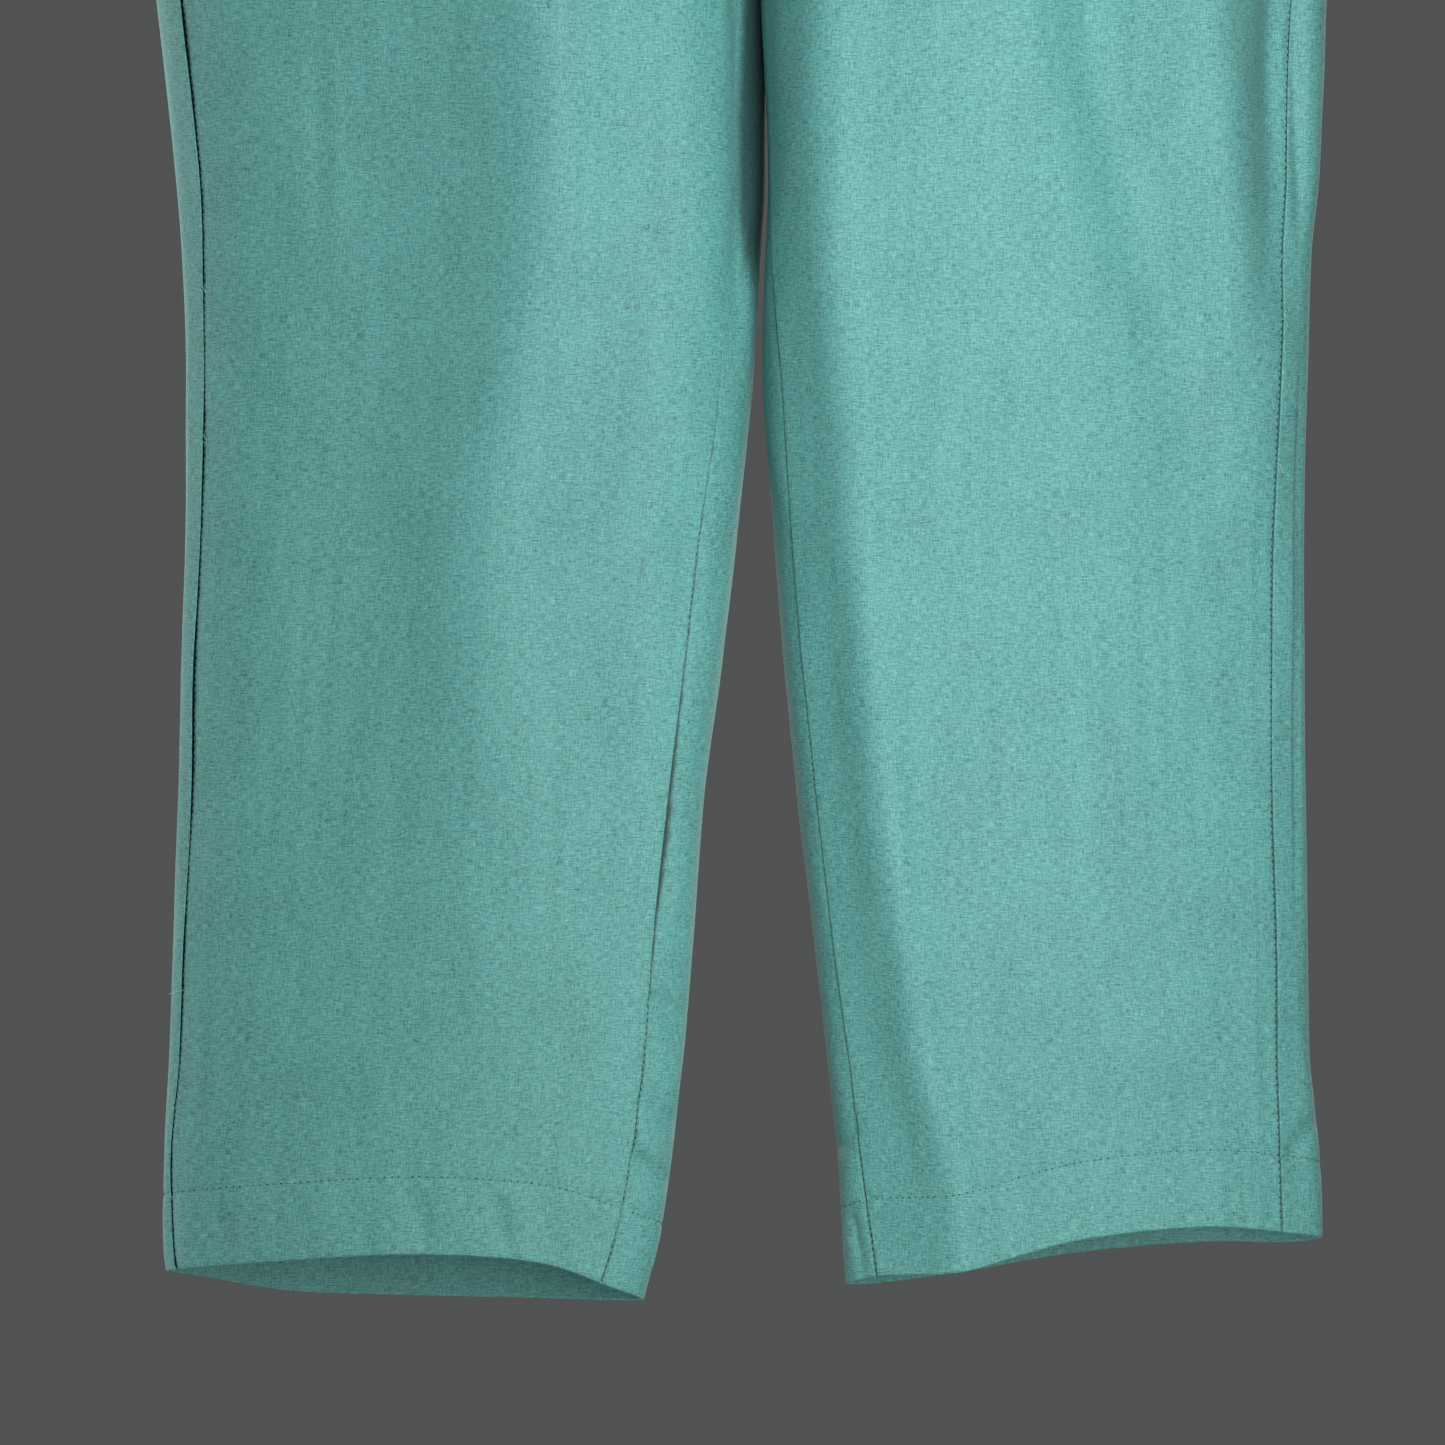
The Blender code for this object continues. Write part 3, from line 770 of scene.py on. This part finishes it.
@dataclass(frozen=True)
class HemTurnUp:
    """The leg's own cloth, turned up inside and stitched."""

    side: Side
    column_pitch: float = 3.0
    wall: float = 0.7
    inwards: float = 1.6

    @property
    def name(self) -> str:
        """The name of the solid that this turn-up stands for."""
        return f"hem_{self.side.name.lower()}"

    def build(self, finish: bpy.types.Material) -> bpy.types.Object:
        """Make the turn-up as a ring of cloth inside the leg."""
        heights = np.concatenate(([HEM + HEM_DEPTH + 1.4], np.arange(HEM + HEM_DEPTH, HEM + 1, -2.0), [HEM + HEM_ROLL]))
        halves = []
        for face in Face:
            panel = Panel(self.side, face)
            form = FORMS[self.side]
            count = int(form.shares(face, np.array([HEM]), lambda width: width[:, None])[1][0] / self.column_pitch)
            patch = panel.surface(heights, lambda width: width[:, None] * np.linspace(0, 1, count + 1)[None])
            halves.append(patch)
        front, back = halves
        joined = [
            np.concatenate((getattr(front, part), getattr(back, part)[:, ::-1][:, 1:]), 1)
            for part in ("points", "normals", "across", "along")
        ]
        points, normals, across, along = joined
        points[:, -1], normals[:, -1] = points[:, 0], normals[:, 0]
        length = np.linalg.norm(np.diff(points[-1], axis=0), axis=-1)
        across = np.repeat(np.concatenate(([0], np.cumsum(length)))[None], len(heights), 0)
        inner = points - normals * self.inwards
        inner[0] += normals[0] * 0.5
        rolled, lie = [], []
        for turn in (0.85, 0.6, 0.3, 0.0):
            angle = turn * math.pi / 2
            drop = np.array((0, 0, -HEM_ROLL * math.cos(angle)))
            rolled.append(points[-1] - normals[-1] * HEM_ROLL * (1 + math.sin(angle)) + drop)
            lie.append(along[-1] - HEM_ROLL * (1 - turn))
        patch = Patch(
            np.concatenate((inner, rolled)),
            np.concatenate((-normals, [-normals[-1]] * len(rolled))),
            np.concatenate((across, [across[-1]] * len(rolled))),
            np.concatenate((along, lie)),
            np.zeros((len(heights) + len(rolled), across.shape[1])),
        )
        mesh = patch.mesh(self.name, self.side is Side.RIGHT, round_it=True)
        piece = add_piece(f"{self.name}_cloth", mesh, finish)
        thicken(piece, self.wall)
        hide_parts(self.name)
        f"back_panel_{self.side.name.lower()}_cloth"
        return piece


@dataclass(frozen=True)
class WaistCasing:
    """The strip that is folded over a flat elastic and gathers the panels' tops."""

    column_pitch: float = 1.7
    row_pitch: float = 1.6
    ruck_pitch: float = 6.4
    ruck_depth: float = 0.75
    stitch_rows: tuple[float, ...] = (15.5, -15.0)

    def stations(self) -> list[tuple[Side, Face, np.ndarray]]:
        """Shares across each panel in turn, once round the waist from the centre front."""
        turns = ((Side.LEFT, Face.FRONT, -1), (Side.LEFT, Face.BACK, 1))
        turns += ((Side.RIGHT, Face.BACK, -1), (Side.RIGHT, Face.FRONT, 1))
        found = []
        for side, face, step in turns:
            heights = np.zeros(1)
            form = FORMS[side]
            count = int(form.shares(face, heights, lambda width: width[:, None])[1][0] / self.column_pitch)
            even = np.linspace(0, 1, count + 1)[None]
            share = form.shares(face, heights, lambda width: width[:, None] * even)[0][0][::step]
            last_panel = side is Side.RIGHT and face is Face.FRONT
            found.append((side, face, share if last_panel else share[:-1]))
        return found

    def relief(self, arc: np.ndarray, height: np.ndarray) -> np.ndarray:
        """Fine rucks between the stitch rows, pinched at each row."""
        pinch = np.ones_like(height)
        groove = np.zeros_like(height)
        for row in self.stitch_rows:
            near = np.exp(-(((height - row) / 2.2) ** 2))
            pinch = pinch * (1 - 0.55 * near)
            groove = groove - 0.55 * near
        drift = 1.3 * ripple(arc, height * 0.5, 47, 0.7)
        ruck = np.cos(math.tau * arc / self.ruck_pitch + drift)
        uneven = 0.7 + 0.5 * ripple(arc, height, 29, 1.9)
        return self.ruck_depth * uneven * ruck * pinch + groove

    def build(self, finish: bpy.types.Material) -> bpy.types.Object:
        """Make the casing as one closed band, folded over at its top."""
        half_wall = CASING_WALL / 2
        top = CASING_TOP - half_wall
        outer = [(height, CASING_PROUD) for height in np.arange(CASING_FOOT + 0.6, top, self.row_pitch)]
        turns = np.linspace(0, math.pi, 8)
        middle = CASING_PROUD - half_wall
        over = [(top + half_wall * math.sin(turn), middle + half_wall * math.cos(turn)) for turn in turns]
        inner = [(height, CASING_PROUD - CASING_WALL) for height in np.arange(top, CASING_FOOT, -3.0)[1:]]
        under = [(CASING_FOOT, CASING_PROUD - 2.0), (CASING_FOOT, CASING_PROUD - 0.6)]
        profile = np.array(outer + over + inner + under + outer[:1])[::-1]
        heights, out = profile[:, 0], profile[:, 1]
        points, normals = [], []
        for side, face, share in self.stations():
            grid = np.repeat(share[None], len(heights), 0)
            rows = np.repeat(heights[:, None], len(share), 1)
            plain, facing = FORMS[side].faced(face, grid, rows)
            points.append(plain)
            normals.append(facing)
        points, normals = np.concatenate(points, 1), np.concatenate(normals, 1)
        points[:, -1], normals[:, -1] = points[:, 0], normals[:, 0]
        steps = np.linalg.norm(np.diff(points[0], axis=0), axis=-1)
        arc = np.repeat(np.concatenate(([0], np.cumsum(steps)))[None], len(heights), 0)
        whole = arc[0, -1]
        round_arc = arc * round(whole / self.ruck_pitch) * self.ruck_pitch / whole
        blend = smooth_step((whole - arc) / 20)
        relief = self.relief(round_arc, heights[:, None] + 0 * arc)
        start = relief[:, :1]
        relief = start + (relief - start) * blend
        points = points + normals * (out[:, None] + relief)[..., None]
        run = np.linalg.norm(np.diff(profile, axis=0), axis=-1)
        along = np.repeat(np.concatenate(([0], np.cumsum(run)))[:, None], arc.shape[1], 1)
        patch = Patch(points, normals, arc, -along, np.zeros_like(arc))
        piece = add_piece("waistband_cloth", patch.mesh("waistband", True, round_it=True), finish)
        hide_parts("waistband")
        return piece


@dataclass(frozen=True)
class Stitching:
    """A run of thread stitches along a line on the cloth."""

    name: str
    slot: str = "cloth"
    pitch: float = STITCH_PITCH
    length: float = 2.0
    width: float = 0.46
    height: float = 0.26
    lift: float = 0.10
    # size of a flat dark dot of painted shade at each needle hole
    hole_shade_dot: float = 0.42

    def build(
        self, lines: list[tuple[np.ndarray, np.ndarray]], finish: bpy.types.Material
    ) -> bpy.types.Object:
        """Lay stitches end to end along lines.

        Args:
            lines: points and normals along each line.
            finish: the thread's material.

        Returns:
            The stitches as one piece.
        """
        builder = bmesh.new()
        lie = builder.loops.layers.uv.new("cloth")
        for points, normals in lines:
            run = np.concatenate(([0], np.cumsum(np.linalg.norm(np.diff(points, axis=0), axis=-1))))
            starts = np.arange(self.pitch * 0.3, run[-1] - self.length, self.pitch)
            for index, start in enumerate(starts):
                jog = 0.12 * math.sin(2.7 * index) + 0.08 * math.sin(7.1 * index)
                ends = [
                    np.array([np.interp(place, run, points[:, axis]) for axis in range(3)])
                    for place in (start + jog, start + jog + self.length)
                ]
                facing = np.array([np.interp(start, run, normals[:, axis]) for axis in range(3)])
                along = Vector(ends[1] - ends[0]).normalized()
                outwards = Vector(facing).normalized()
                beside = along.cross(outwards).normalized()
                outwards = beside.cross(along)
                middle = Vector((ends[0] + ends[1]) / 2) + outwards * self.lift
                axes = Matrix((beside, outwards, along)).transposed().to_4x4()
                size = Matrix.Diagonal((self.width / 2, self.height / 2, self.length / 2 + 0.1, 1))
                place = Matrix.Scale(MM, 4) @ Matrix.Translation(middle) @ axes @ size
                bmesh.ops.create_uvsphere(
                    builder, u_segments=6, v_segments=4, radius=1.0, matrix=place, calc_uvs=True
                )
                # a flat dot of painted shade at the needle hole, coloured with the thread's dark end colour through its
                # UV at 0
                size = Matrix.Diagonal((self.hole_shade_dot, 0.14, self.hole_shade_dot, 1))
                place = Matrix.Scale(MM, 4) @ Matrix.Translation(Vector(ends[0]) - along * 0.35) @ axes @ size
                made = bmesh.ops.create_uvsphere(
                    builder, u_segments=6, v_segments=3, radius=1.0, matrix=place, calc_uvs=True
                )
                for vert in made["verts"]:
                    for loop in vert.link_loops:
                        loop[lie].uv = (0.0, 0.0)
        bmesh.ops.recalc_face_normals(builder, faces=builder.faces)
        mesh = bpy.data.meshes.new(self.name)
        builder.to_mesh(mesh)
        builder.free()
        mesh.shade_smooth()
        return add_piece(self.name, mesh, finish)


def hem_line(side: Side) -> list[tuple[np.ndarray, np.ndarray]]:
    """The hem's stitch line round a leg, on its front and on its back."""
    lines = []
    for face in Face:
        patch = Panel(side, face).surface(
            np.array([HEM + HEM_DEPTH]), lambda width: width[:, None] * np.linspace(0.004, 0.996, 260)[None]
        )
        lines.append((patch.points[0], patch.normals[0]))
    return lines


def seam_line(panel: Panel, inwards: float, at_outseam: bool, top: float, foot: float) -> tuple:
    """A stitch line down a seam.

    Args:
        panel: the panel that the stitches lie on.
        inwards: how far in from the seam, in millimetres.
        at_outseam: whether it is the outseam, and otherwise the inseam or centre seam.
        top: height of its first stitch.
        foot: height of its last stitch.

    Returns:
        Points and normals down the line.
    """
    heights = np.arange(top, foot, -2.0)

    def arcs(width: np.ndarray) -> np.ndarray:
        """One distance from the outseam for each row."""
        return (np.zeros_like(width) + inwards if at_outseam else width - inwards)[:, None]

    patch = panel.surface(heights, arcs)
    return patch.points[:, 0], patch.normals[:, 0]


class LooseEnd(NamedTuple):
    """A loose end of thread at an outseam: where it leaves the seam and where it curls to."""

    side: Side
    z: float
    run: float
    drop: float
    curl: float


LOOSE_ENDS = [
    LooseEnd(Side.RIGHT, -534, 2.0, -3.0, 0.8),
    LooseEnd(Side.RIGHT, -594, 3.0, -4.5, 1.2),
    LooseEnd(Side.RIGHT, -597, 3.2, -2.0, 1.6),
    LooseEnd(Side.RIGHT, -821, -5.0, -1.5, 0.9),
    LooseEnd(Side.RIGHT, -905, 1.8, -2.4, 0.9),
    LooseEnd(Side.LEFT, -485, -2.0, -4.0, 1.0),
    LooseEnd(Side.LEFT, -522, 2.4, -4.6, 0.8),
    LooseEnd(Side.LEFT, -537, 5.2, -5.2, 1.4),
    LooseEnd(Side.LEFT, -548, -1.8, -3.4, 0.8),
    LooseEnd(Side.LEFT, -606, -2.4, -4.2, 1.2),
    LooseEnd(Side.LEFT, -680, -2.0, -3.0, 0.7),
    LooseEnd(Side.LEFT, -742, 2.2, -3.0, 1.0),
]


class Lint(NamedTuple):
    """A curl of lint on a front panel, measured in from the side's outer edge."""

    side: Side
    arc: float
    z: float
    size: float
    turn: float


LINT = [
    Lint(Side.LEFT, 146, -818, 2.0, 0.4),
    Lint(Side.LEFT, 126, -811, 1.4, 1.9),
    Lint(Side.RIGHT, 158, -425, 1.6, 1.2),
    Lint(Side.LEFT, 84, -700, 1.2, 2.6),
    Lint(Side.RIGHT, 60, -752, 1.1, 0.2),
    Lint(Side.RIGHT, 190, -512, 1.2, 4.1),
]


@dataclass(frozen=True)
class Threads:
    """Fine bent threads that lie on the cloth."""

    name: str
    radius: float

    def build(self, paths: list[list[Vector]], finish: bpy.types.Material) -> bpy.types.Object:
        """Make the threads from the points that each one follows."""
        curve = bpy.data.curves.new(self.name, "CURVE")
        curve.dimensions = "3D"
        curve.bevel_depth = self.radius * MM
        curve.bevel_resolution = 1
        curve.resolution_u = 5
        curve.use_fill_caps = True
        for path in paths:
            spline = curve.splines.new("NURBS")
            spline.points.add(len(path) - 1)
            spline.order_u = 3
            spline.use_endpoint_u = True
            for point, place in zip(spline.points, path):
                point.co = (*(place * MM), 1.0)
        holder = bpy.data.objects.new(self.name, curve)
        bpy.context.scene.collection.objects.link(holder)
        mesh = bpy.data.meshes.new_from_object(holder)
        bpy.data.objects.remove(holder)
        mesh.materials.clear()
        mesh.shade_smooth()
        return add_piece(self.name, mesh, finish)


def loose_paths() -> list[list[Vector]]:
    """The way of each loose end, from inside its seam."""
    paths = []
    for end in LOOSE_ENDS:
        points, normals = seam_line(Panel(end.side, Face.FRONT), 0.3, True, end.z, end.z - 1)
        start, out = Vector(points[0]), Vector(normals[0])
        beside = Vector((-end.side.value, 0, 0))
        down = Vector((0, 0, 1))
        paths.append(
            [
                start - out * 0.4,
                start + out * 0.9,
                start + out * (1.0 + end.curl) + beside * end.run * 0.4 + down * end.drop * 0.3,
                start + out * (0.9 + end.curl * 0.4) + beside * end.run + down * end.drop,
            ]
        )
    return paths


def lint_paths() -> list[list[Vector]]:
    """The way of each curl of lint."""
    paths = []
    for curl in LINT:
        points, normals = seam_line(Panel(curl.side, Face.FRONT), curl.arc, True, curl.z, curl.z - 1)
        start, out = Vector(points[0]), Vector(normals[0])
        path = []
        for step in range(6):
            angle = curl.turn + 0.75 * step
            reach = curl.size * (1 - 0.06 * step)
            path.append(start + out * 0.35 + Vector((math.cos(angle), 0, math.sin(angle))) * reach)
        paths.append(path)
    return paths


class Wire:
    """A socket of a material, with the maths that is written on it."""

    def __init__(self, recipe: "Recipe", socket: bpy.types.NodeSocket) -> None:
        """Hold the socket and the recipe that it belongs to."""
        self.recipe = recipe
        self.socket = socket

    def _maths(self, operation: str, first: "Wire | float", second: "Wire | float") -> "Wire":
        """Add one Math node."""
        return self.recipe.node("ShaderNodeMath", {"operation": operation}, {0: first, 1: second})

    def __add__(self, other: "Wire | float") -> "Wire":
        """Add."""
        return self._maths("ADD", self, other)

    __radd__ = __add__

    def __sub__(self, other: "Wire | float") -> "Wire":
        """Take away."""
        return self._maths("SUBTRACT", self, other)

    def __rsub__(self, other: "Wire | float") -> "Wire":
        """Take this away from a number."""
        return self._maths("SUBTRACT", other, self)

    def __mul__(self, other: "Wire | float") -> "Wire":
        """Multiply."""
        return self._maths("MULTIPLY", self, other)

    __rmul__ = __mul__

    def above(self, level: float, gain: float) -> "Wire":
        """How far this is above a level, times a gain, held between 0 and 1."""
        found = self.recipe.node(
            "ShaderNodeMath", {"operation": "MULTIPLY_ADD", "use_clamp": True}, {0: self, 1: gain, 2: -level * gain}
        )
        return found


class Recipe:
    """One material in the making."""

    def __init__(self, name: str) -> None:
        """Start a material with a plain shader."""
        self.material = bpy.data.materials.new(name)
        self.material.use_nodes = True
        self.tree = self.material.node_tree
        self.shader = self.tree.nodes["Principled BSDF"]

    def node(self, kind: str, settings: dict, inputs: dict, output: int | str = 0) -> Wire:
        """Add a node.

        Args:
            kind: the node's type.
            settings: its own settings, which are set first.
            inputs: values or links of its sockets, by number or name.
            output: the socket to read.

        Returns:
            The output as a wire.
        """
        made = self.tree.nodes.new(kind)
        for name, value in settings.items():
            setattr(made, name, value)
        for place, value in inputs.items():
            if isinstance(value, Wire):
                self.tree.links.new(value.socket, made.inputs[place])
            else:
                made.inputs[place].default_value = value
        return Wire(self, made.outputs[output])

    def grain(self, lie: Wire, across: float, along: float, seed: float, detail: float = 2.0) -> Wire:
        """Uneven grain, across and along the cloth, in millimetres."""
        size = (1 / (across * MM), 1 / (along * MM), 1.0)
        place = self.node(
            "ShaderNodeMapping", {}, {"Vector": lie, "Location": (seed * 13.7, seed * 7.3, seed), "Scale": size}
        )
        return self.node(
            "ShaderNodeTexNoise", {}, {"Vector": place, "Scale": 1.0, "Detail": detail, "Roughness": 0.6}, "Fac"
        )

    def mix(self, factor: Wire, first: Wire | tuple, second: Wire | tuple) -> Wire:
        """Mix two colours."""
        return self.node("ShaderNodeMix", {"data_type": "RGBA"}, {0: factor, 6: first, 7: second}, 2)

    def paint(self, socket: str, value: Wire | float | tuple) -> None:
        """Give the shader's socket a value or a link."""
        if isinstance(value, Wire):
            self.tree.links.new(value.socket, self.shader.inputs[socket])
        else:
            self.shader.inputs[socket].default_value = value


@dataclass(frozen=True)
class SlubCotton:
    """Plain-woven cotton with slubs: uneven threads both ways, with light and dark flecks, darkened by the mesh's
    painted shade.
    """

    name: str
    dark: tuple[float, float, float, float] = (0.030, 0.150, 0.146, 1)
    light: tuple[float, float, float, float] = (0.190, 0.560, 0.530, 1)
    # the colour of the painted shade beside seams and between the legs
    painted_dark: tuple[float, float, float, float] = (0.006, 0.030, 0.032, 1)
    fleck: tuple[float, float, float, float] = (0.018, 0.110, 0.112, 1)
    seed: float = 0.0
    bump: float = 0.5

    def build(self) -> bpy.types.Material:
        """Make the material."""
        recipe = Recipe(self.name)
        lie = recipe.node("ShaderNodeUVMap", {"uv_map": "cloth"}, {})
        weft = recipe.grain(lie, 3.6, 0.62, self.seed + 1)
        warp = recipe.grain(lie, 0.62, 3.8, self.seed + 2)
        fine = recipe.grain(lie, 0.75, 0.75, self.seed + 3)
        weft_slub = recipe.grain(lie, 18.0, 0.8, self.seed + 4).above(0.60, 7.0)
        warp_slub = recipe.grain(lie, 0.8, 26.0, self.seed + 5).above(0.61, 7.0)
        pale_slub = recipe.grain(lie, 14.0, 0.7, self.seed + 6).above(0.63, 8.0)
        cloud = recipe.grain(lie, 26.0, 40.0, self.seed + 7)
        bands = recipe.grain(lie, 5.0, 140.0, self.seed + 9)
        flecks = recipe.grain(lie, 2.4, 0.75, self.seed + 8).above(0.66, 18.0)
        threads = 1.25 * (weft - 0.5) + 1.0 * (warp - 0.5) + 0.9 * (fine - 0.5)
        slubs = 0.20 * pale_slub - 0.18 * weft_slub - 0.14 * warp_slub
        tone = 0.5 + threads + slubs + 0.22 * (cloud - 0.5) + 0.22 * (bands - 0.5)
        woven = recipe.mix(tone, self.dark, self.light)
        flecked = recipe.mix(0.75 * flecks, woven, self.fleck)
        # painted shade: the mesh's attribute darkens the cloth towards the painted shade colour beside seams and
        # between the legs
        painted_shade = recipe.node("ShaderNodeAttribute", {"attribute_name": "painted_shade"}, {}, "Fac")
        recipe.paint("Base Color", recipe.mix(0.93 * painted_shade, flecked, self.painted_dark))
        recipe.paint("Roughness", 0.62 + 0.2 * (weft - 0.5))
        recipe.paint("Specular IOR Level", 0.5)
        recipe.paint("Sheen Weight", 0.05)
        recipe.paint("Sheen Roughness", 0.5)
        relief = weft + warp + 0.5 * fine + 0.5 * pale_slub + 0.4 * weft_slub
        bump = recipe.node("ShaderNodeBump", {}, {"Strength": self.bump, "Distance": 0.25 * MM, "Height": relief}, "Normal")
        recipe.paint("Normal", bump)
        return recipe.material


@dataclass(frozen=True)
class SewingThread:
    """Spun thread, with painted shade at its ends where it goes into the cloth."""

    name: str
    middle: tuple[float, float, float, float] = (0.190, 0.430, 0.405, 1)
    # the colour of the painted shade at the thread's ends and on the needle-hole dots
    ends: tuple[float, float, float, float] = (0.012, 0.060, 0.060, 1)

    def build(self) -> bpy.types.Material:
        """Make the material."""
        recipe = Recipe(self.name)
        lie = recipe.node("ShaderNodeUVMap", {"uv_map": "cloth"}, {})
        along = recipe.node("ShaderNodeSeparateXYZ", {}, {"Vector": lie}, "Y")
        ply = recipe.grain(lie, 300.0, 60.0, 3.0)
        # painted shade at both ends of each stitch, and on the needle-hole dots
        near_start = 1 - along.above(0.12, 7.0)
        near_end = along.above(0.74, 7.0)
        spun = recipe.mix(ply, tuple(0.75 * part for part in self.middle[:3]) + (1,), self.middle)
        recipe.paint("Base Color", recipe.mix(near_start + near_end, spun, self.ends))
        recipe.paint("Roughness", 0.62 + 0.2 * (ply - 0.5))
        recipe.paint("Specular IOR Level", 0.3)
        return recipe.material


@dataclass(frozen=True)
class LooseFibre:
    """A loose thread end or a curl of lint."""

    name: str
    dark: tuple[float, float, float, float]
    light: tuple[float, float, float, float]

    def build(self) -> bpy.types.Material:
        """Make the material."""
        recipe = Recipe(self.name)
        place = recipe.node("ShaderNodeTexCoord", {}, {}, "Object")
        ply = recipe.grain(place, 0.7, 0.7, 2.0)
        recipe.paint("Base Color", recipe.mix(ply, self.dark, self.light))
        recipe.paint("Roughness", 0.7 + 0.2 * (ply - 0.5))
        recipe.paint("Specular IOR Level", 0.3)
        return recipe.material


@dataclass(frozen=True)
class Studio:
    """A plain pale floor, soft lights and the camera."""

    camera_x: float = -8.0
    camera_z: float = -711.6
    camera_distance: float = 2200.0
    sensor: float = 36.0
    frame_width: float = 592.45
    floor_height: float = -1600.0
    floor_size: float = 2600.0

    def camera(self) -> None:
        """Look level at the legs, as the photo does."""
        lens = bpy.data.cameras.new("camera")
        lens.sensor_width = self.sensor
        lens.lens = self.sensor * self.camera_distance / self.frame_width
        lens.clip_start, lens.clip_end = 0.05, 50.0
        camera = bpy.data.objects.new("camera", lens)
        camera.location = Vector((self.camera_x, -self.camera_distance, self.camera_z)) * MM
        camera.rotation_euler = (math.pi / 2, 0, 0)
        bpy.context.scene.collection.objects.link(camera)
        bpy.context.scene.camera = camera

    def lamp(self, name: str, place: tuple, aim: tuple, size: tuple, power: float, colour: tuple) -> None:
        """Add a soft box.

        Args:
            name: its name.
            place: where it stands, in millimetres.
            aim: what it points at, in millimetres.
            size: its width and height, in millimetres.
            power: its power in watts.
            colour: its colour.
        """
        light = bpy.data.lights.new(name, "AREA")
        light.shape = "RECTANGLE"
        light.size, light.size_y = size[0] * MM, size[1] * MM
        light.energy = power
        light.color = colour
        lamp = bpy.data.objects.new(name, light)
        lamp.location = Vector(place) * MM
        toward = (Vector(aim) - Vector(place)).normalized()
        lamp.rotation_euler = toward.to_track_quat("-Z", "Y").to_euler()
        lamp.visible_camera = False
        bpy.context.scene.collection.objects.link(lamp)

    def floor(self) -> None:
        """Lay a round pale floor well below the hems."""
        builder = bmesh.new()
        lowered = Matrix.Translation((0, 0, self.floor_height * MM))
        bmesh.ops.create_circle(
            builder, cap_ends=True, segments=96, radius=self.floor_size * MM, matrix=lowered
        )
        mesh = bpy.data.meshes.new("floor")
        builder.to_mesh(mesh)
        builder.free()
        recipe = Recipe("pale_floor")
        recipe.paint("Base Color", (0.72, 0.71, 0.69, 1))
        recipe.paint("Roughness", 0.8)
        mesh.materials.append(recipe.material)
        floor = bpy.data.objects.new("floor", mesh)
        bpy.context.scene.collection.objects.link(floor)

    def build(self) -> None:
        """Set up everything."""
        self.camera()
        self.floor()
        white = (1.0, 0.99, 0.97)
        self.lamp("key", (150, -523, -560), (20, 0, -580), (300, 1150), 4.8, white)
        self.lamp("side", (-500, 20, -600), (20, 0, -620), (300, 1300), 1.7, white)
        self.lamp("far_side", (2087, -792, -600), (20, 0, -620), (400, 1600), 4.0, white)
        self.lamp("back_right", (-1100, 1500, -200), (0, 0, -500), (1000, 1600), 8.0, white)
        self.lamp("back_left", (900, 1400, -400), (0, 0, -500), (900, 1600), 8.0, white)
        world = bpy.data.worlds.new("studio")
        bpy.context.scene.world = world
        world.use_nodes = True
        background = world.node_tree.nodes["Background"]
        background.inputs["Color"].default_value = (0.60, 0.61, 0.62, 1)
        background.inputs["Strength"].default_value = 0.14
        bpy.context.scene.view_settings.view_transform = "Standard"


def report(piece: bpy.types.Object) -> None:
    """Say which piece is ready and how many faces it has."""
    log.info("%s: %d faces", piece.name, len(piece.data.polygons))


def main() -> None:
    """Build the garment's pieces in the order that a maker would, then the studio."""
    logging.basicConfig(level=logging.INFO, format="%(name)s %(message)s")
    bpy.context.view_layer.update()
    cloth = SlubCotton("slub_cotton").build()
    turned = SlubCotton("slub_cotton_turned", seed=20.0).build()
    casing = SlubCotton("slub_cotton_casing", seed=40.0).build()
    thread = SewingThread("sewing_thread").build()
    for side in Side:
        for face in Face:
            report(Panel(side, face).build(cloth))
        report(HemTurnUp(side).build(turned))
    report(WaistCasing().build(casing))
    for side in Side:
        name = side.name.lower()
        front, back = Panel(side, Face.FRONT), Panel(side, Face.BACK)
        report(Stitching(f"hem_stitches_{name}", "turn_up").build(hem_line(side), thread))
        outseam = [seam_line(front, 0.55, True, CASING_FOOT - 2, HEM + 2)]
        report(Stitching(f"outseam_stitches_{name}").build(outseam, thread))
        inseam = [seam_line(back, 0.55, False, CROTCH - 6, HEM + 2)]
        report(Stitching(f"inseam_stitches_{name}").build(inseam, thread))
    centre = [
        seam_line(Panel(Side.RIGHT, face), 0.55, False, CASING_FOOT - 2, CROTCH + 8) for face in Face
    ]
    report(Stitching("centre_seam_stitches").build(centre, thread))
    pale = LooseFibre("loose_thread", (0.20, 0.42, 0.40, 1), (0.45, 0.66, 0.62, 1)).build()
    report(Threads("loose_ends", 0.14).build(loose_paths(), pale))
    dark = LooseFibre("lint", (0.02, 0.09, 0.10, 1), (0.08, 0.25, 0.25, 1)).build()
    report(Threads("lint", 0.12).build(lint_paths(), dark))
    Studio().build()


if __name__ == "__main__":
    main()
